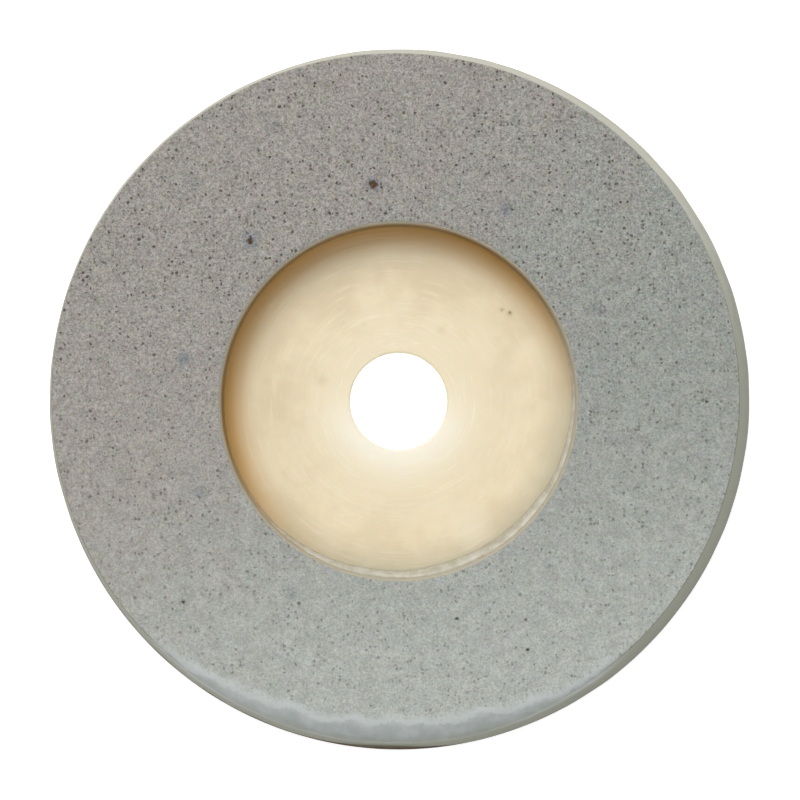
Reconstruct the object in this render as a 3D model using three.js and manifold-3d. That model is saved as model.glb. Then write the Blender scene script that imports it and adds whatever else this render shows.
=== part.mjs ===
// Face-type diamond grinding wheel: a resin-bonded abrasive ring glued and screwed to a thin
// plastic backing plate with a plain arbor bore. The wheel lies on its back: the bore's axis is
// +Z, the origin is the centre of the plate's back face, and the grinding face looks up.
// All lengths are in millimetres and all angles in degrees.

import Module from 'manifold-3d';
import * as THREE from 'three';
import { mergeVertices } from 'three/addons/utils/BufferGeometryUtils.js';

// Whole wheel: the diameter at the foot of the abrasive ring, where the wheel is widest.
const WHEEL_DIAMETER = 150;

// Backing plate, a little smaller than the ring's foot.
const PLATE_THICKNESS = 4;
const PLATE_SETBACK = 0.5;
const PLATE_EDGE_CHAMFER = 0.5;

// Arbor bore: the machine's spindle and the slack that the plate is bored with, both on the diameter.
const ARBOR_DIAMETER = 20;
const ARBOR_CLEARANCE = 0.7;
const BORE_CHAMFER = 0.4;

// Abrasive ring.
const RING_HEIGHT = 11;
const RECESS_DIAMETER = 75;
const RIM_DRAFT_ANGLE = 15;
const FACE_EDGE_RADIUS = 0.5;
const RECESS_EDGE_RADIUS = 0.4;

// Glue: the layer under the ring, and the bead that it squeezed into the recess.
const GLUE_THICKNESS = 0.4;
const GLUE_SETBACK = 0.3;
const BEAD_WIDTH = 1.4;
const BEAD_HEIGHT = 2.6;

// Countersunk screws, driven through the plate's back into the ring.
const SCREW_COUNT = 10;
const FIRST_SCREW_HEADING = 24.7;
const SCREW_WALL_DISTANCE = 8.25;
const SCREW_DIAMETER = 3.5;
const SCREW_HEAD_DIAMETER = 6.8;
const SCREW_HEAD_LAND = 0.3;
const SCREW_HEAD_SINK = 0.2;
const SCREW_TIP_LENGTH = 2.4;
const SCREW_TIP_COVER = 0.8;
const DRIVER_SPAN = 3.6;
const DRIVER_WIDTH = 0.9;
const DRIVER_DEPTH = 1.2;

// Clearance left between pieces that touch, and how far a cutter reaches past what it cuts.
const TOUCH_GAP = 0.3;
const CUT_OVERRUN = 1;

// Facets: around the wheel, around each screw, and along each rounded edge.
const TURN_SEGMENTS = 144;
const SCREW_SEGMENTS = 20;
const ROUND_SEGMENTS = 4;
const BEAD_SEGMENTS = 6;

// Levels and radii that follow from the sizes above.
const footRadius = WHEEL_DIAMETER / 2;
const plateRadius = footRadius - PLATE_SETBACK;
const boreRadius = (ARBOR_DIAMETER + ARBOR_CLEARANCE) / 2;
const recessRadius = RECESS_DIAMETER / 2;
const glueBottom = PLATE_THICKNESS + TOUCH_GAP;
const ringBottom = glueBottom + GLUE_THICKNESS + TOUCH_GAP;
const faceLevel = ringBottom + RING_HEIGHT;
const rimDraft = THREE.MathUtils.degToRad(RIM_DRAFT_ANGLE);
const faceRadius = footRadius - RING_HEIGHT * Math.tan(rimDraft);

// The screws and their holes.
const screwCircleRadius = recessRadius + SCREW_WALL_DISTANCE;
const shankRadius = SCREW_DIAMETER / 2;
const headRadius = SCREW_HEAD_DIAMETER / 2;
const headConeLevel = SCREW_HEAD_SINK + SCREW_HEAD_LAND;
const tipLevel = faceLevel - SCREW_TIP_COVER;
const tipHalfAngle = Math.atan(shankRadius / SCREW_TIP_LENGTH);

const ivoryPlastic = { color: 0xebdab4, roughness: 0.45, metalness: 0 };
const greyAbrasive = { color: 0x98989a, roughness: 0.9, metalness: 0 };
const clearGlue = { color: 0xc9bfa6, roughness: 0.25, metalness: 0 };
const screwSteel = { color: 0xa9abad, roughness: 0.35, metalness: 1 };

const wasm = await Module();
wasm.setup();

/** Points along a circular arc of the section, from one angle to another, in radians. */
function arcPoints(centreRadius, centreLevel, arcRadius, fromAngle, toAngle, segments) {
  const points = [];
  for (let step = 0; step <= segments; step += 1) {
    const angle = fromAngle + ((toAngle - fromAngle) * step) / segments;
    const radius = centreRadius + arcRadius * Math.cos(angle);
    const level = centreLevel + arcRadius * Math.sin(angle);
    points.push(new THREE.Vector2(radius, level));
  }
  return points;
}

/** Turns a section, listed anticlockwise as radius and level, into a closed surface about +Z. */
function turned(section, segments) {
  const geometry = new THREE.LatheGeometry(section, segments);
  geometry.rotateX(Math.PI / 2);
  return geometry;
}

/** Turns a ring-shaped section, which doesn't reach the axis, into a closed surface. */
function turnedRing(section) {
  return turned([...section, section[0].clone()], TURN_SEGMENTS);
}

/** Makes a named piece of a closed surface. */
function piece(name, geometry, finish) {
  const mesh = new THREE.Mesh(geometry, new THREE.MeshStandardMaterial(finish));
  mesh.name = name;
  return mesh;
}

/** Makes a solid that can be cut from a closed surface. */
function solidOf(geometry) {
  const bare = geometry.clone();
  bare.deleteAttribute('normal');
  bare.deleteAttribute('uv');
  const joined = mergeVertices(bare);
  const mesh = new wasm.Mesh({
    numProp: 3,
    vertProperties: new Float32Array(joined.attributes.position.array),
    triVerts: new Uint32Array(joined.index.array),
  });
  return new wasm.Manifold(mesh);
}

/** Cuts each of the cutters out of a closed surface, and gives back what is left. */
function cut(geometry, cutters) {
  let solid = solidOf(geometry);
  for (const cutter of cutters) {
    solid = solid.subtract(solidOf(cutter));
  }
  const mesh = solid.getMesh();
  const left = new THREE.BufferGeometry();
  left.setAttribute('position', new THREE.BufferAttribute(mesh.vertProperties, 3));
  left.setIndex(new THREE.BufferAttribute(mesh.triVerts, 1));
  left.computeVertexNormals();
  return left;
}

/** Copies a surface that stands on the wheel's axis to the place of each screw. */
function atEachScrew(geometry) {
  const copies = [];
  for (let number = 0; number < SCREW_COUNT; number += 1) {
    const heading = FIRST_SCREW_HEADING + (360 * number) / SCREW_COUNT;
    const copy = geometry.clone();
    copy.translate(screwCircleRadius, 0, 0);
    copy.rotateZ(THREE.MathUtils.degToRad(heading));
    copies.push(copy);
  }
  return copies;
}

/** The countersunk hole that each screw has in the plate: its head's seat, and clearance beyond. */
function plateHole() {
  const seatLift = TOUCH_GAP * (Math.SQRT2 - 1);
  const coneFoot = headConeLevel + seatLift;
  const coneTop = coneFoot + headRadius - shankRadius;
  const section = [
    new THREE.Vector2(0, -CUT_OVERRUN),
    new THREE.Vector2(headRadius + TOUCH_GAP, -CUT_OVERRUN),
    new THREE.Vector2(headRadius + TOUCH_GAP, coneFoot),
    new THREE.Vector2(shankRadius + TOUCH_GAP, coneTop),
    new THREE.Vector2(shankRadius + TOUCH_GAP, PLATE_THICKNESS + CUT_OVERRUN),
    new THREE.Vector2(0, PLATE_THICKNESS + CUT_OVERRUN),
  ];
  return turned(section, SCREW_SEGMENTS);
}

/** The blind hole that each screw has in the ring, with the plain hole through the glue below it. */
function ringHole() {
  const holeRadius = shankRadius + TOUCH_GAP;
  const apexLevel = tipLevel + TOUCH_GAP / Math.sin(tipHalfAngle);
  const coneFoot = apexLevel - holeRadius / Math.tan(tipHalfAngle);
  const section = [
    new THREE.Vector2(0, glueBottom - CUT_OVERRUN),
    new THREE.Vector2(holeRadius, glueBottom - CUT_OVERRUN),
    new THREE.Vector2(holeRadius, coneFoot),
    new THREE.Vector2(0, apexLevel),
  ];
  return turned(section, SCREW_SEGMENTS);
}

/** The plastic disc that carries the ring: nearly full diameter, plain bore, small chamfers. */
function backingPlate() {
  const section = [
    new THREE.Vector2(boreRadius + BORE_CHAMFER, 0),
    new THREE.Vector2(plateRadius - PLATE_EDGE_CHAMFER, 0),
    new THREE.Vector2(plateRadius, PLATE_EDGE_CHAMFER),
    new THREE.Vector2(plateRadius, PLATE_THICKNESS - PLATE_EDGE_CHAMFER),
    new THREE.Vector2(plateRadius - PLATE_EDGE_CHAMFER, PLATE_THICKNESS),
    new THREE.Vector2(boreRadius + BORE_CHAMFER, PLATE_THICKNESS),
    new THREE.Vector2(boreRadius, PLATE_THICKNESS - BORE_CHAMFER),
    new THREE.Vector2(boreRadius, BORE_CHAMFER),
  ];
  const drilled = cut(turnedRing(section), atEachScrew(plateHole()));
  return piece('backing_plate', drilled, ivoryPlastic);
}

/** The thin layer of glue that holds the ring to the plate, pierced by the screws. */
function glueLayer() {
  const innerRadius = recessRadius + GLUE_SETBACK;
  const outerRadius = plateRadius - GLUE_SETBACK;
  const glueTop = glueBottom + GLUE_THICKNESS;
  const section = [
    new THREE.Vector2(innerRadius, glueBottom),
    new THREE.Vector2(outerRadius, glueBottom),
    new THREE.Vector2(outerRadius, glueTop),
    new THREE.Vector2(innerRadius, glueTop),
  ];
  const pierced = cut(turnedRing(section), atEachScrew(ringHole()));
  return piece('glue_layer', pierced, clearGlue);
}

/** The cast abrasive ring: drafted rim, flat grinding face, straight wall round the recess. */
function abrasiveRing() {
  const rimCornerTurn = Math.PI / 2 - rimDraft;
  const rimCornerInset = FACE_EDGE_RADIUS * Math.tan(rimCornerTurn / 2);
  const section = [
    new THREE.Vector2(recessRadius, ringBottom),
    new THREE.Vector2(footRadius, ringBottom),
    ...arcPoints(
      faceRadius - rimCornerInset,
      faceLevel - FACE_EDGE_RADIUS,
      FACE_EDGE_RADIUS,
      rimDraft,
      Math.PI / 2,
      ROUND_SEGMENTS,
    ),
    ...arcPoints(
      recessRadius + RECESS_EDGE_RADIUS,
      faceLevel - RECESS_EDGE_RADIUS,
      RECESS_EDGE_RADIUS,
      Math.PI / 2,
      Math.PI,
      ROUND_SEGMENTS,
    ),
  ];
  const drilled = cut(turnedRing(section), atEachScrew(ringHole()));
  return piece('abrasive_ring', drilled, greyAbrasive);
}

/** The bead of glue squeezed out into the corner between the plate and the recess wall. */
function glueBead() {
  const wallRadius = recessRadius - TOUCH_GAP;
  const floorLevel = PLATE_THICKNESS + TOUCH_GAP;
  const section = [new THREE.Vector2(wallRadius, floorLevel)];
  for (let step = 0; step <= BEAD_SEGMENTS; step += 1) {
    const angle = (Math.PI / 2) * (1 - step / BEAD_SEGMENTS);
    const radius = wallRadius - BEAD_WIDTH * Math.cos(angle);
    const level = floorLevel + BEAD_HEIGHT * Math.sin(angle);
    section.push(new THREE.Vector2(radius, level));
  }
  return piece('glue_bead', turnedRing(section), clearGlue);
}

/** One countersunk screw on the wheel's axis: head down, tip up, with a cross for the driver. */
function screwBody() {
  const section = [
    new THREE.Vector2(0, SCREW_HEAD_SINK),
    new THREE.Vector2(headRadius, SCREW_HEAD_SINK),
    new THREE.Vector2(headRadius, headConeLevel),
    new THREE.Vector2(shankRadius, headConeLevel + headRadius - shankRadius),
    new THREE.Vector2(shankRadius, tipLevel - SCREW_TIP_LENGTH),
    new THREE.Vector2(0, tipLevel),
  ];
  const crossHeight = CUT_OVERRUN + DRIVER_DEPTH;
  const crossCentre = SCREW_HEAD_SINK + (DRIVER_DEPTH - CUT_OVERRUN) / 2;
  const blade = new THREE.BoxGeometry(DRIVER_SPAN, DRIVER_WIDTH, crossHeight);
  blade.translate(0, 0, crossCentre);
  const crossBlade = blade.clone().rotateZ(Math.PI / 2);
  return cut(turned(section, SCREW_SEGMENTS), [blade, crossBlade]);
}

/** All the screws, numbered anticlockwise as seen from the grinding face. */
function retainingScrews() {
  return atEachScrew(screwBody()).map((body, index) => {
    const number = String(index + 1).padStart(2, '0');
    return piece(`retaining_screw_${number}`, body, screwSteel);
  });
}

const wheel = new THREE.Group();
wheel.add(backingPlate(), glueLayer(), abrasiveRing(), glueBead(), ...retainingScrews());

export default wheel;
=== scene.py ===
"""Looks of a face-type diamond grinding wheel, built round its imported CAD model.

The wheel lies on its back on a pale table, with its grinding face up. Five classes make its pieces:
the plastic backing plate, the glue under the ring, the cast abrasive ring, the bead of squeezed-out
glue and the screws that are driven through the plate into the ring. Lengths are in metres in the
meshes and in millimetres inside the materials.
"""

import logging
import math
from dataclasses import dataclass, field
from enum import Enum
from functools import reduce

import bpy
import numpy as np
from mathutils import Matrix, Vector


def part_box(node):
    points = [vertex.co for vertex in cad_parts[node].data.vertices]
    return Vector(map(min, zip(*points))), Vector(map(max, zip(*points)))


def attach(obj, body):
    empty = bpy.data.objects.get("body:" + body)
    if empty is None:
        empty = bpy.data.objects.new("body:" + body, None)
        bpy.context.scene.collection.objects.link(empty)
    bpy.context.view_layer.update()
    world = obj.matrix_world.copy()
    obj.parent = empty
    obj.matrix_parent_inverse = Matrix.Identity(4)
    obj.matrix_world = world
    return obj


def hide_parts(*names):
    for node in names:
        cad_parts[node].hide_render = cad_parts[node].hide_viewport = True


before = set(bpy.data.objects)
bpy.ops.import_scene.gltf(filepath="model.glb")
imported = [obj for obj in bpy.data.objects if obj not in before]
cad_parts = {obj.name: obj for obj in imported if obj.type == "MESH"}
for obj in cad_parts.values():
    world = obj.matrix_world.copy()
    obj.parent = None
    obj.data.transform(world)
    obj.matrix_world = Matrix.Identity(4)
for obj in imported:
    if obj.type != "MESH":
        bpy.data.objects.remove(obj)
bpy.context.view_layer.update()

MM = 0.001
TAU = 2 * math.pi
LEVEL_TOLERANCE = 0.01 * MM
SHARP_ANGLE = math.radians(35)
ROOT_BODY = "root"
LOG = logging.getLogger("grinding_wheel")

Socket = bpy.types.NodeSocket
Colour = tuple[float, float, float]


class Slot(Enum):
    """Names of material slots of the record; no piece below takes its finish from them."""

    PLASTIC = "ivory_plastic"
    GLUE = "clear_glue"
    ABRASIVE = "grey_abrasive"
    STEEL = "screw_steel"


class Op(Enum):
    """Arithmetic that a material does on one or two numbers."""

    ADD = "ADD"
    SUBTRACT = "SUBTRACT"
    MULTIPLY = "MULTIPLY"
    DIVIDE = "DIVIDE"
    LARGER = "MAXIMUM"
    ABSOLUTE = "ABSOLUTE"


# ---------------------------------------------------------------------------
# Sizes read from the frame, and seeded unevenness
# ---------------------------------------------------------------------------


@dataclass(frozen=True)
class TurnedSize:
    """Sizes of one turned CAD node, in metres.

    Attributes:
        inner: smallest radius.
        outer: largest radius.
        top_outer: largest radius at the top level.
        bottom: lowest level.
        top: highest level.
    """

    inner: float
    outer: float
    top_outer: float
    bottom: float
    top: float

    @classmethod
    def of(cls, node: str) -> "TurnedSize":
        """Measures a node of the frame.

        Args:
            node: the CAD node's name.

        Returns:
            The node's radii about the bore's axis, and its levels.
        """
        low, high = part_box(node)
        points = np.array([v.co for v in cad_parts[node].data.vertices])
        radii = np.hypot(points[:, 0], points[:, 1])
        at_top = radii[points[:, 2] > high.z - LEVEL_TOLERANCE]
        return cls(radii.min(), radii.max(), at_top.max(), low.z, high.z)


@dataclass(frozen=True)
class Waver:
    """A smooth, seeded wobble that repeats after one turn.

    Attributes:
        seed: number that picks the wobble.
        slowest: fewest waves in a turn.
        fastest: most waves in a turn.
        waves: how many waves are added up.
    """

    seed: int
    slowest: int
    fastest: int
    waves: int = 14

    def at(self, turn: np.ndarray) -> np.ndarray:
        """Gives the wobble at each angle, mostly between -1 and 1.

        Args:
            turn: angles about the bore's axis, in radians.

        Returns:
            The wobble, in the same shape as the angles.
        """
        draw = np.random.default_rng(self.seed)
        counts = draw.integers(self.slowest, self.fastest + 1, self.waves)
        starts = draw.uniform(0, TAU, self.waves)
        total = sum(np.sin(n * turn + s) for n, s in zip(counts, starts))
        return total / math.sqrt(self.waves / 2) / 1.5


@dataclass(frozen=True)
class Swell:
    """A smooth, seeded unevenness of a flat surface.

    Attributes:
        seed: number that picks the unevenness.
        shortest: shortest wavelength, in metres.
        longest: longest wavelength, in metres.
        waves: how many waves are added up.
    """

    seed: int
    shortest: float
    longest: float
    waves: int = 20

    def at(self, x: np.ndarray, y: np.ndarray) -> np.ndarray:
        """Gives the unevenness at each point, mostly between -1 and 1.

        Args:
            x: first coordinates, in metres.
            y: second coordinates, in metres.

        Returns:
            The unevenness, in the same shape as the points.
        """
        draw = np.random.default_rng(self.seed)
        total = np.zeros_like(x)
        for _ in range(self.waves):
            heading = draw.uniform(0, TAU)
            length = draw.uniform(self.shortest, self.longest)
            start = draw.uniform(0, TAU)
            along = x * math.cos(heading) + y * math.sin(heading)
            total += np.sin(TAU * along / length + start)
        return total / math.sqrt(self.waves / 2) / 1.5


def smooth(share: np.ndarray) -> np.ndarray:
    """Eases a share from 0 to 1, held at both ends."""
    held = np.clip(share, 0, 1)
    return held * held * (3 - 2 * held)


def hump(turn: np.ndarray, centre: float, half_width: float) -> np.ndarray:
    """A smooth hump of height 1 on the circle.

    Args:
        turn: angles, in radians.
        centre: angle of the hump's top, in radians.
        half_width: angle from its top to where it ends, in radians.

    Returns:
        The hump's height at each angle.
    """
    off = np.abs((turn - centre + math.pi) % TAU - math.pi)
    return smooth(1 - off / half_width)


def rows_between(start: float, end: float, step: float) -> np.ndarray:
    """Evenly spaced values from start up to, but not including, end."""
    count = max(1, round(abs(end - start) / step))
    return np.linspace(start, end, count, endpoint=False)


def full_turn(steps: int) -> np.ndarray:
    """Evenly spaced angles round the axis, in radians."""
    return np.linspace(0, TAU, steps, endpoint=False)


def place_in_scene(name: str, data: bpy.types.ID) -> bpy.types.Object:
    """Makes an object of a mesh, lamp or camera and links it to the scene."""
    made = bpy.data.objects.new(name, data)
    bpy.context.scene.collection.objects.link(made)
    return made


def paint(piece: bpy.types.Object, material: bpy.types.Material) -> None:
    """Gives a piece one material and no other."""
    piece.data.materials.clear()
    piece.data.materials.append(material)


def ring_mesh(name: str, x: np.ndarray, y: np.ndarray, z: np.ndarray) -> bpy.types.Object:
    """Makes a closed ring-shaped mesh from rows of points that go round the axis.

    Args:
        name: the piece's name.
        x: first coordinates, one row of the section per row, one turn step per column.
        y: second coordinates, in the same layout.
        z: levels, in the same layout.

    Returns:
        The new smooth-shaded object, linked to the scene, with its faces outward.
    """
    rows, steps = x.shape
    points = np.stack([x, y, z], axis=-1).reshape(-1, 3)
    index = np.arange(rows * steps).reshape(rows, steps)
    above = np.roll(index, -1, axis=0)
    quads = np.stack(
        [index, np.roll(index, -1, axis=1), np.roll(above, -1, axis=1), above], axis=-1
    ).reshape(-1, 4)
    mesh = bpy.data.meshes.new(name)
    mesh.from_pydata(points.tolist(), [], quads.tolist())
    mesh.validate()
    mesh.shade_smooth()
    return place_in_scene(name, mesh)


def spindle_mesh(
    name: str, radius: np.ndarray, levels: np.ndarray, places: list[tuple[float, float]]
) -> bpy.types.Object:
    """Makes closed solids of revolution that start and end on their own upright axes, in one mesh.

    Args:
        name: the object's name.
        radius: radii, one row for each level and one column for each turn step.
        levels: the rows' levels, from the lowest; the first and last rows are single points.
        places: where the axes stand, in metres.

    Returns:
        The new smooth-shaded object, linked to the scene, with its faces outward.
    """
    steps = radius.shape[1]
    turn = full_turn(steps)
    body = radius[1:-1]
    x, y = body * np.cos(turn), body * np.sin(turn)
    z = np.repeat(levels[1:-1, None], steps, axis=1)
    points, faces = [], []
    for place_x, place_y in places:
        start = len(points)
        points += np.stack([x + place_x, y + place_y, z], axis=-1).reshape(-1, 3).tolist()
        foot, tip = len(points), len(points) + 1
        points += [(place_x, place_y, levels[0]), (place_x, place_y, levels[-1])]
        index = start + np.arange(body.size).reshape(body.shape)
        turned = np.roll(index, -1, axis=1)
        faces += np.stack([index[:-1], turned[:-1], turned[1:], index[1:]], axis=-1).reshape(-1, 4).tolist()
        faces += [(foot, b, a) for a, b in zip(index[0].tolist(), turned[0].tolist())]
        faces += [(tip, a, b) for a, b in zip(index[-1].tolist(), turned[-1].tolist())]
    mesh = bpy.data.meshes.new(name)
    mesh.from_pydata(points, [], faces)
    mesh.shade_smooth()
    return place_in_scene(name, mesh)


def drill(piece: bpy.types.Object, cutters: list[bpy.types.Object]) -> None:
    """Cuts holes in a piece and throws the cutters away.

    Args:
        piece: the piece, whose mesh is replaced by the cut one.
        cutters: closed objects of the holes' shape.
    """
    for cutter in cutters:
        hole = piece.modifiers.new("hole", "BOOLEAN")
        hole.operation = "DIFFERENCE"
        hole.solver = "EXACT"
        hole.object = cutter
    bpy.context.view_layer.update()
    cut = bpy.data.meshes.new_from_object(piece.evaluated_get(bpy.context.evaluated_depsgraph_get()))
    piece.modifiers.clear()
    piece.data = cut
    cut.name = piece.name
    cut.shade_smooth()
    cut.set_sharp_from_angle(angle=SHARP_ANGLE)
    for cutter in cutters:
        bpy.data.meshes.remove(cutter.data)


def add_measure(piece: bpy.types.Object, name: str, values: np.ndarray) -> None:
    """Stores one number per vertex, in millimetres or as a share, for the finish to read."""
    attribute = piece.data.attributes.new(name, "FLOAT", "POINT")
    attribute.data.foreach_set("value", values.astype(np.float32).ravel())


def fit_to_body(piece: bpy.types.Object, node: str) -> None:
    """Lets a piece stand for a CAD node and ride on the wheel."""
    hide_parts(node)
    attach(piece, ROOT_BODY)


# ---------------------------------------------------------------------------
# Node trees
# ---------------------------------------------------------------------------


class NodeSheet:
    """A node tree with one short call for each kind of node that the finishes use."""

    def __init__(self, tree: bpy.types.NodeTree) -> None:
        """Empties the tree and keeps it."""
        self.tree = tree
        tree.nodes.clear()

    def node(self, kind: str, **settings: object) -> bpy.types.Node:
        """Adds a node and sets its properties.

        Args:
            kind: the node's type name.
            settings: properties to set on it.

        Returns:
            The new node.
        """
        made = self.tree.nodes.new(kind)
        for name, value in settings.items():
            setattr(made, name, value)
        return made

    def feed(self, socket: Socket, value: Socket | float | Colour) -> None:
        """Links a socket to another one, or sets its plain value.

        Args:
            socket: the socket that is fed.
            value: the socket, number or colour that feeds it.
        """
        if isinstance(value, bpy.types.NodeSocket):
            self.tree.links.new(value, socket)
        elif socket.type == "RGBA":
            socket.default_value = (*value, 1.0)
        else:
            socket.default_value = value

    def math(self, op: Op, first: Socket | float, second: Socket | float = 0.0) -> Socket:
        """Works out one number from two.

        Args:
            op: the arithmetic.
            first: left operand.
            second: right operand, which one-sided arithmetic ignores.

        Returns:
            The result's socket.
        """
        made = self.node("ShaderNodeMath", operation=op.value)
        self.feed(made.inputs[0], first)
        self.feed(made.inputs[1], second)
        return made.outputs[0]

    def times(self, first: Socket | float, *others: Socket | float) -> Socket:
        """Multiplies numbers."""
        return reduce(lambda so_far, value: self.math(Op.MULTIPLY, so_far, value), others, first)

    def plus(self, first: Socket | float, *others: Socket | float) -> Socket:
        """Adds numbers."""
        return reduce(lambda so_far, value: self.math(Op.ADD, so_far, value), others, first)

    def minus(self, first: Socket | float, second: Socket | float) -> Socket:
        """Takes the second number from the first."""
        return self.math(Op.SUBTRACT, first, second)

    def vector(self, operation: str, *values: Socket | Colour) -> Socket:
        """Works on vectors.

        Args:
            operation: Blender's name of the vector arithmetic.
            values: the vectors that it works on.

        Returns:
            The resulting vector, or a number if the arithmetic gives a length or distance.
        """
        made = self.node("ShaderNodeVectorMath", operation=operation)
        for socket, value in zip(made.inputs, values):
            self.feed(socket, value)
        return made.outputs["Value" if operation in ("LENGTH", "DISTANCE") else "Vector"]

    def scaled(self, vector: Socket, factor: Socket | float) -> Socket:
        """Multiplies a vector by one number."""
        made = self.node("ShaderNodeVectorMath", operation="SCALE")
        self.feed(made.inputs["Vector"], vector)
        self.feed(made.inputs["Scale"], factor)
        return made.outputs["Vector"]

    def joined(self, x: Socket | float, y: Socket | float, z: Socket | float) -> Socket:
        """Makes a vector of three numbers."""
        made = self.node("ShaderNodeCombineXYZ")
        for socket, value in zip(made.inputs, (x, y, z)):
            self.feed(socket, value)
        return made.outputs[0]

    def parts(self, vector: Socket) -> tuple[Socket, Socket, Socket]:
        """Splits a vector into its three numbers."""
        made = self.node("ShaderNodeSeparateXYZ")
        self.feed(made.inputs[0], vector)
        return made.outputs[0], made.outputs[1], made.outputs[2]

    def eased(
        self,
        value: Socket | float,
        low: Socket | float,
        high: Socket | float,
        to_low: float = 0.0,
        to_high: float = 1.0,
    ) -> Socket:
        """Maps a range of values smoothly onto another, held at both ends.

        Args:
            value: what is mapped.
            low: the value that gives to_low.
            high: the value that gives to_high.
            to_low: the result at low.
            to_high: the result at high.

        Returns:
            The result's socket.
        """
        made = self.node("ShaderNodeMapRange", interpolation_type="SMOOTHSTEP")
        for name, given in (
            ("Value", value),
            ("From Min", low),
            ("From Max", high),
            ("To Min", to_low),
            ("To Max", to_high),
        ):
            self.feed(made.inputs[name], given)
        return made.outputs["Result"]

    def noise(
        self, vector: Socket, size: Socket | float, detail: float = 2.0, rough: float = 0.5
    ) -> bpy.types.Node:
        """Adds noise whose features are about size across, in the vector's unit.

        Args:
            vector: where the noise is read.
            size: how large its features are.
            detail: how many finer layers it has.
            rough: how strong the finer layers are.

        Returns:
            The noise node, with a Fac and a Color output.
        """
        made = self.node("ShaderNodeTexNoise")
        self.feed(made.inputs["Vector"], vector)
        self.feed(made.inputs["Scale"], self.math(Op.DIVIDE, 1.0, size))
        made.inputs["Detail"].default_value = detail
        made.inputs["Roughness"].default_value = rough
        return made

    def cells(self, vector: Socket, size: Socket | float) -> bpy.types.Node:
        """Adds scattered cells.

        Args:
            vector: where the cells are read.
            size: about how far apart they are.

        Returns:
            The cell node, with a Distance and a Color output.
        """
        made = self.node("ShaderNodeTexVoronoi")
        self.feed(made.inputs["Vector"], vector)
        self.feed(made.inputs["Scale"], self.math(Op.DIVIDE, 1.0, size))
        return made

    def lay(self, share: Socket | float, below: Socket | Colour, above: Socket | Colour) -> Socket:
        """Lays one colour over another.

        Args:
            share: how much of the upper colour shows.
            below: the lower colour.
            above: the upper colour.

        Returns:
            The colour's socket.
        """
        made = self.node("ShaderNodeMix", data_type="RGBA")
        self.feed(made.inputs["Factor"], share)
        self.feed(made.inputs[6], below)
        self.feed(made.inputs[7], above)
        return made.outputs[2]

    def millimetres(self) -> Socket:
        """Reads the place on the piece, in millimetres in the wheel's frame."""
        place = self.node("ShaderNodeTexCoord").outputs["Object"]
        return self.scaled(place, 1 / MM)

    def measure(self, name: str) -> Socket:
        """Reads one of the numbers that a piece stores at its vertices."""
        return self.node("ShaderNodeAttribute", attribute_name=name).outputs["Fac"]

    def bump(self, height: Socket, depth: float, below: Socket | None = None) -> Socket:
        """Turns a height from 0 to 1 into a normal.

        Args:
            height: the height's socket.
            depth: what height 1 stands for, in metres.
            below: a normal that this one is laid on, if there is one.

        Returns:
            The normal's socket.
        """
        made = self.node("ShaderNodeBump")
        made.inputs["Strength"].default_value = 1.0
        made.inputs["Distance"].default_value = depth
        self.feed(made.inputs["Height"], height)
        if below is not None:
            self.feed(made.inputs["Normal"], below)
        return made.outputs["Normal"]


NUMBER = "NodeSocketFloat"
VECTOR = "NodeSocketVector"
PAINT = "NodeSocketColor"


class EffectGroup:
    """An effect that several finishes share, built once as a node group with named sockets.

    Attributes:
        name: the group's name.
        inputs: name, kind and plain value of each input after the first, which is the place.
        outputs: name and kind of each output.
    """

    name = ""
    inputs: tuple[tuple[str, str, float], ...] = ()
    outputs: tuple[tuple[str, str], ...] = ()

    @classmethod
    def tree(cls) -> bpy.types.NodeTree:
        """Finds the group, or builds it the first time.

        Returns:
            The effect's node group.
        """
        found = bpy.data.node_groups.get(cls.name)
        if found is not None:
            return found
        made = bpy.data.node_groups.new(cls.name, "ShaderNodeTree")
        sheet = NodeSheet(made)
        made.interface.new_socket("Vector", in_out="INPUT", socket_type=VECTOR)
        for name, kind, value in cls.inputs:
            socket = made.interface.new_socket(name, in_out="INPUT", socket_type=kind)
            if kind == NUMBER:
                socket.default_value = value
        for name, kind in cls.outputs:
            made.interface.new_socket(name, in_out="OUTPUT", socket_type=kind)
        source = sheet.node("NodeGroupInput")
        sink = sheet.node("NodeGroupOutput")
        given = {socket.name: socket for socket in source.outputs if socket.name}
        for name, value in cls.wire(sheet, given).items():
            sheet.feed(sink.inputs[name], value)
        return made

    @classmethod
    def wire(cls, sheet: NodeSheet, given: dict[str, Socket]) -> dict[str, Socket]:
        """Builds the effect inside its group.

        Args:
            sheet: the group's node tree.
            given: the group's inputs by name; Vector is the place, in millimetres.

        Returns:
            What each output is fed, by name.
        """
        raise NotImplementedError

    @classmethod
    def use(
        cls, sheet: NodeSheet, vector: Socket, **values: Socket | float | Colour
    ) -> dict[str, Socket]:
        """Places the effect in a finish.

        Args:
            sheet: the finish's node tree.
            vector: the place on the piece, in millimetres.
            values: the effect's other inputs, by name with underscores for spaces.

        Returns:
            Its outputs by name.
        """
        placed = sheet.node("ShaderNodeGroup", node_tree=cls.tree())
        sheet.feed(placed.inputs["Vector"], vector)
        for name, value in values.items():
            sheet.feed(placed.inputs[name.replace("_", " ")], value)
        return {socket.name: socket for socket in placed.outputs}


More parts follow.
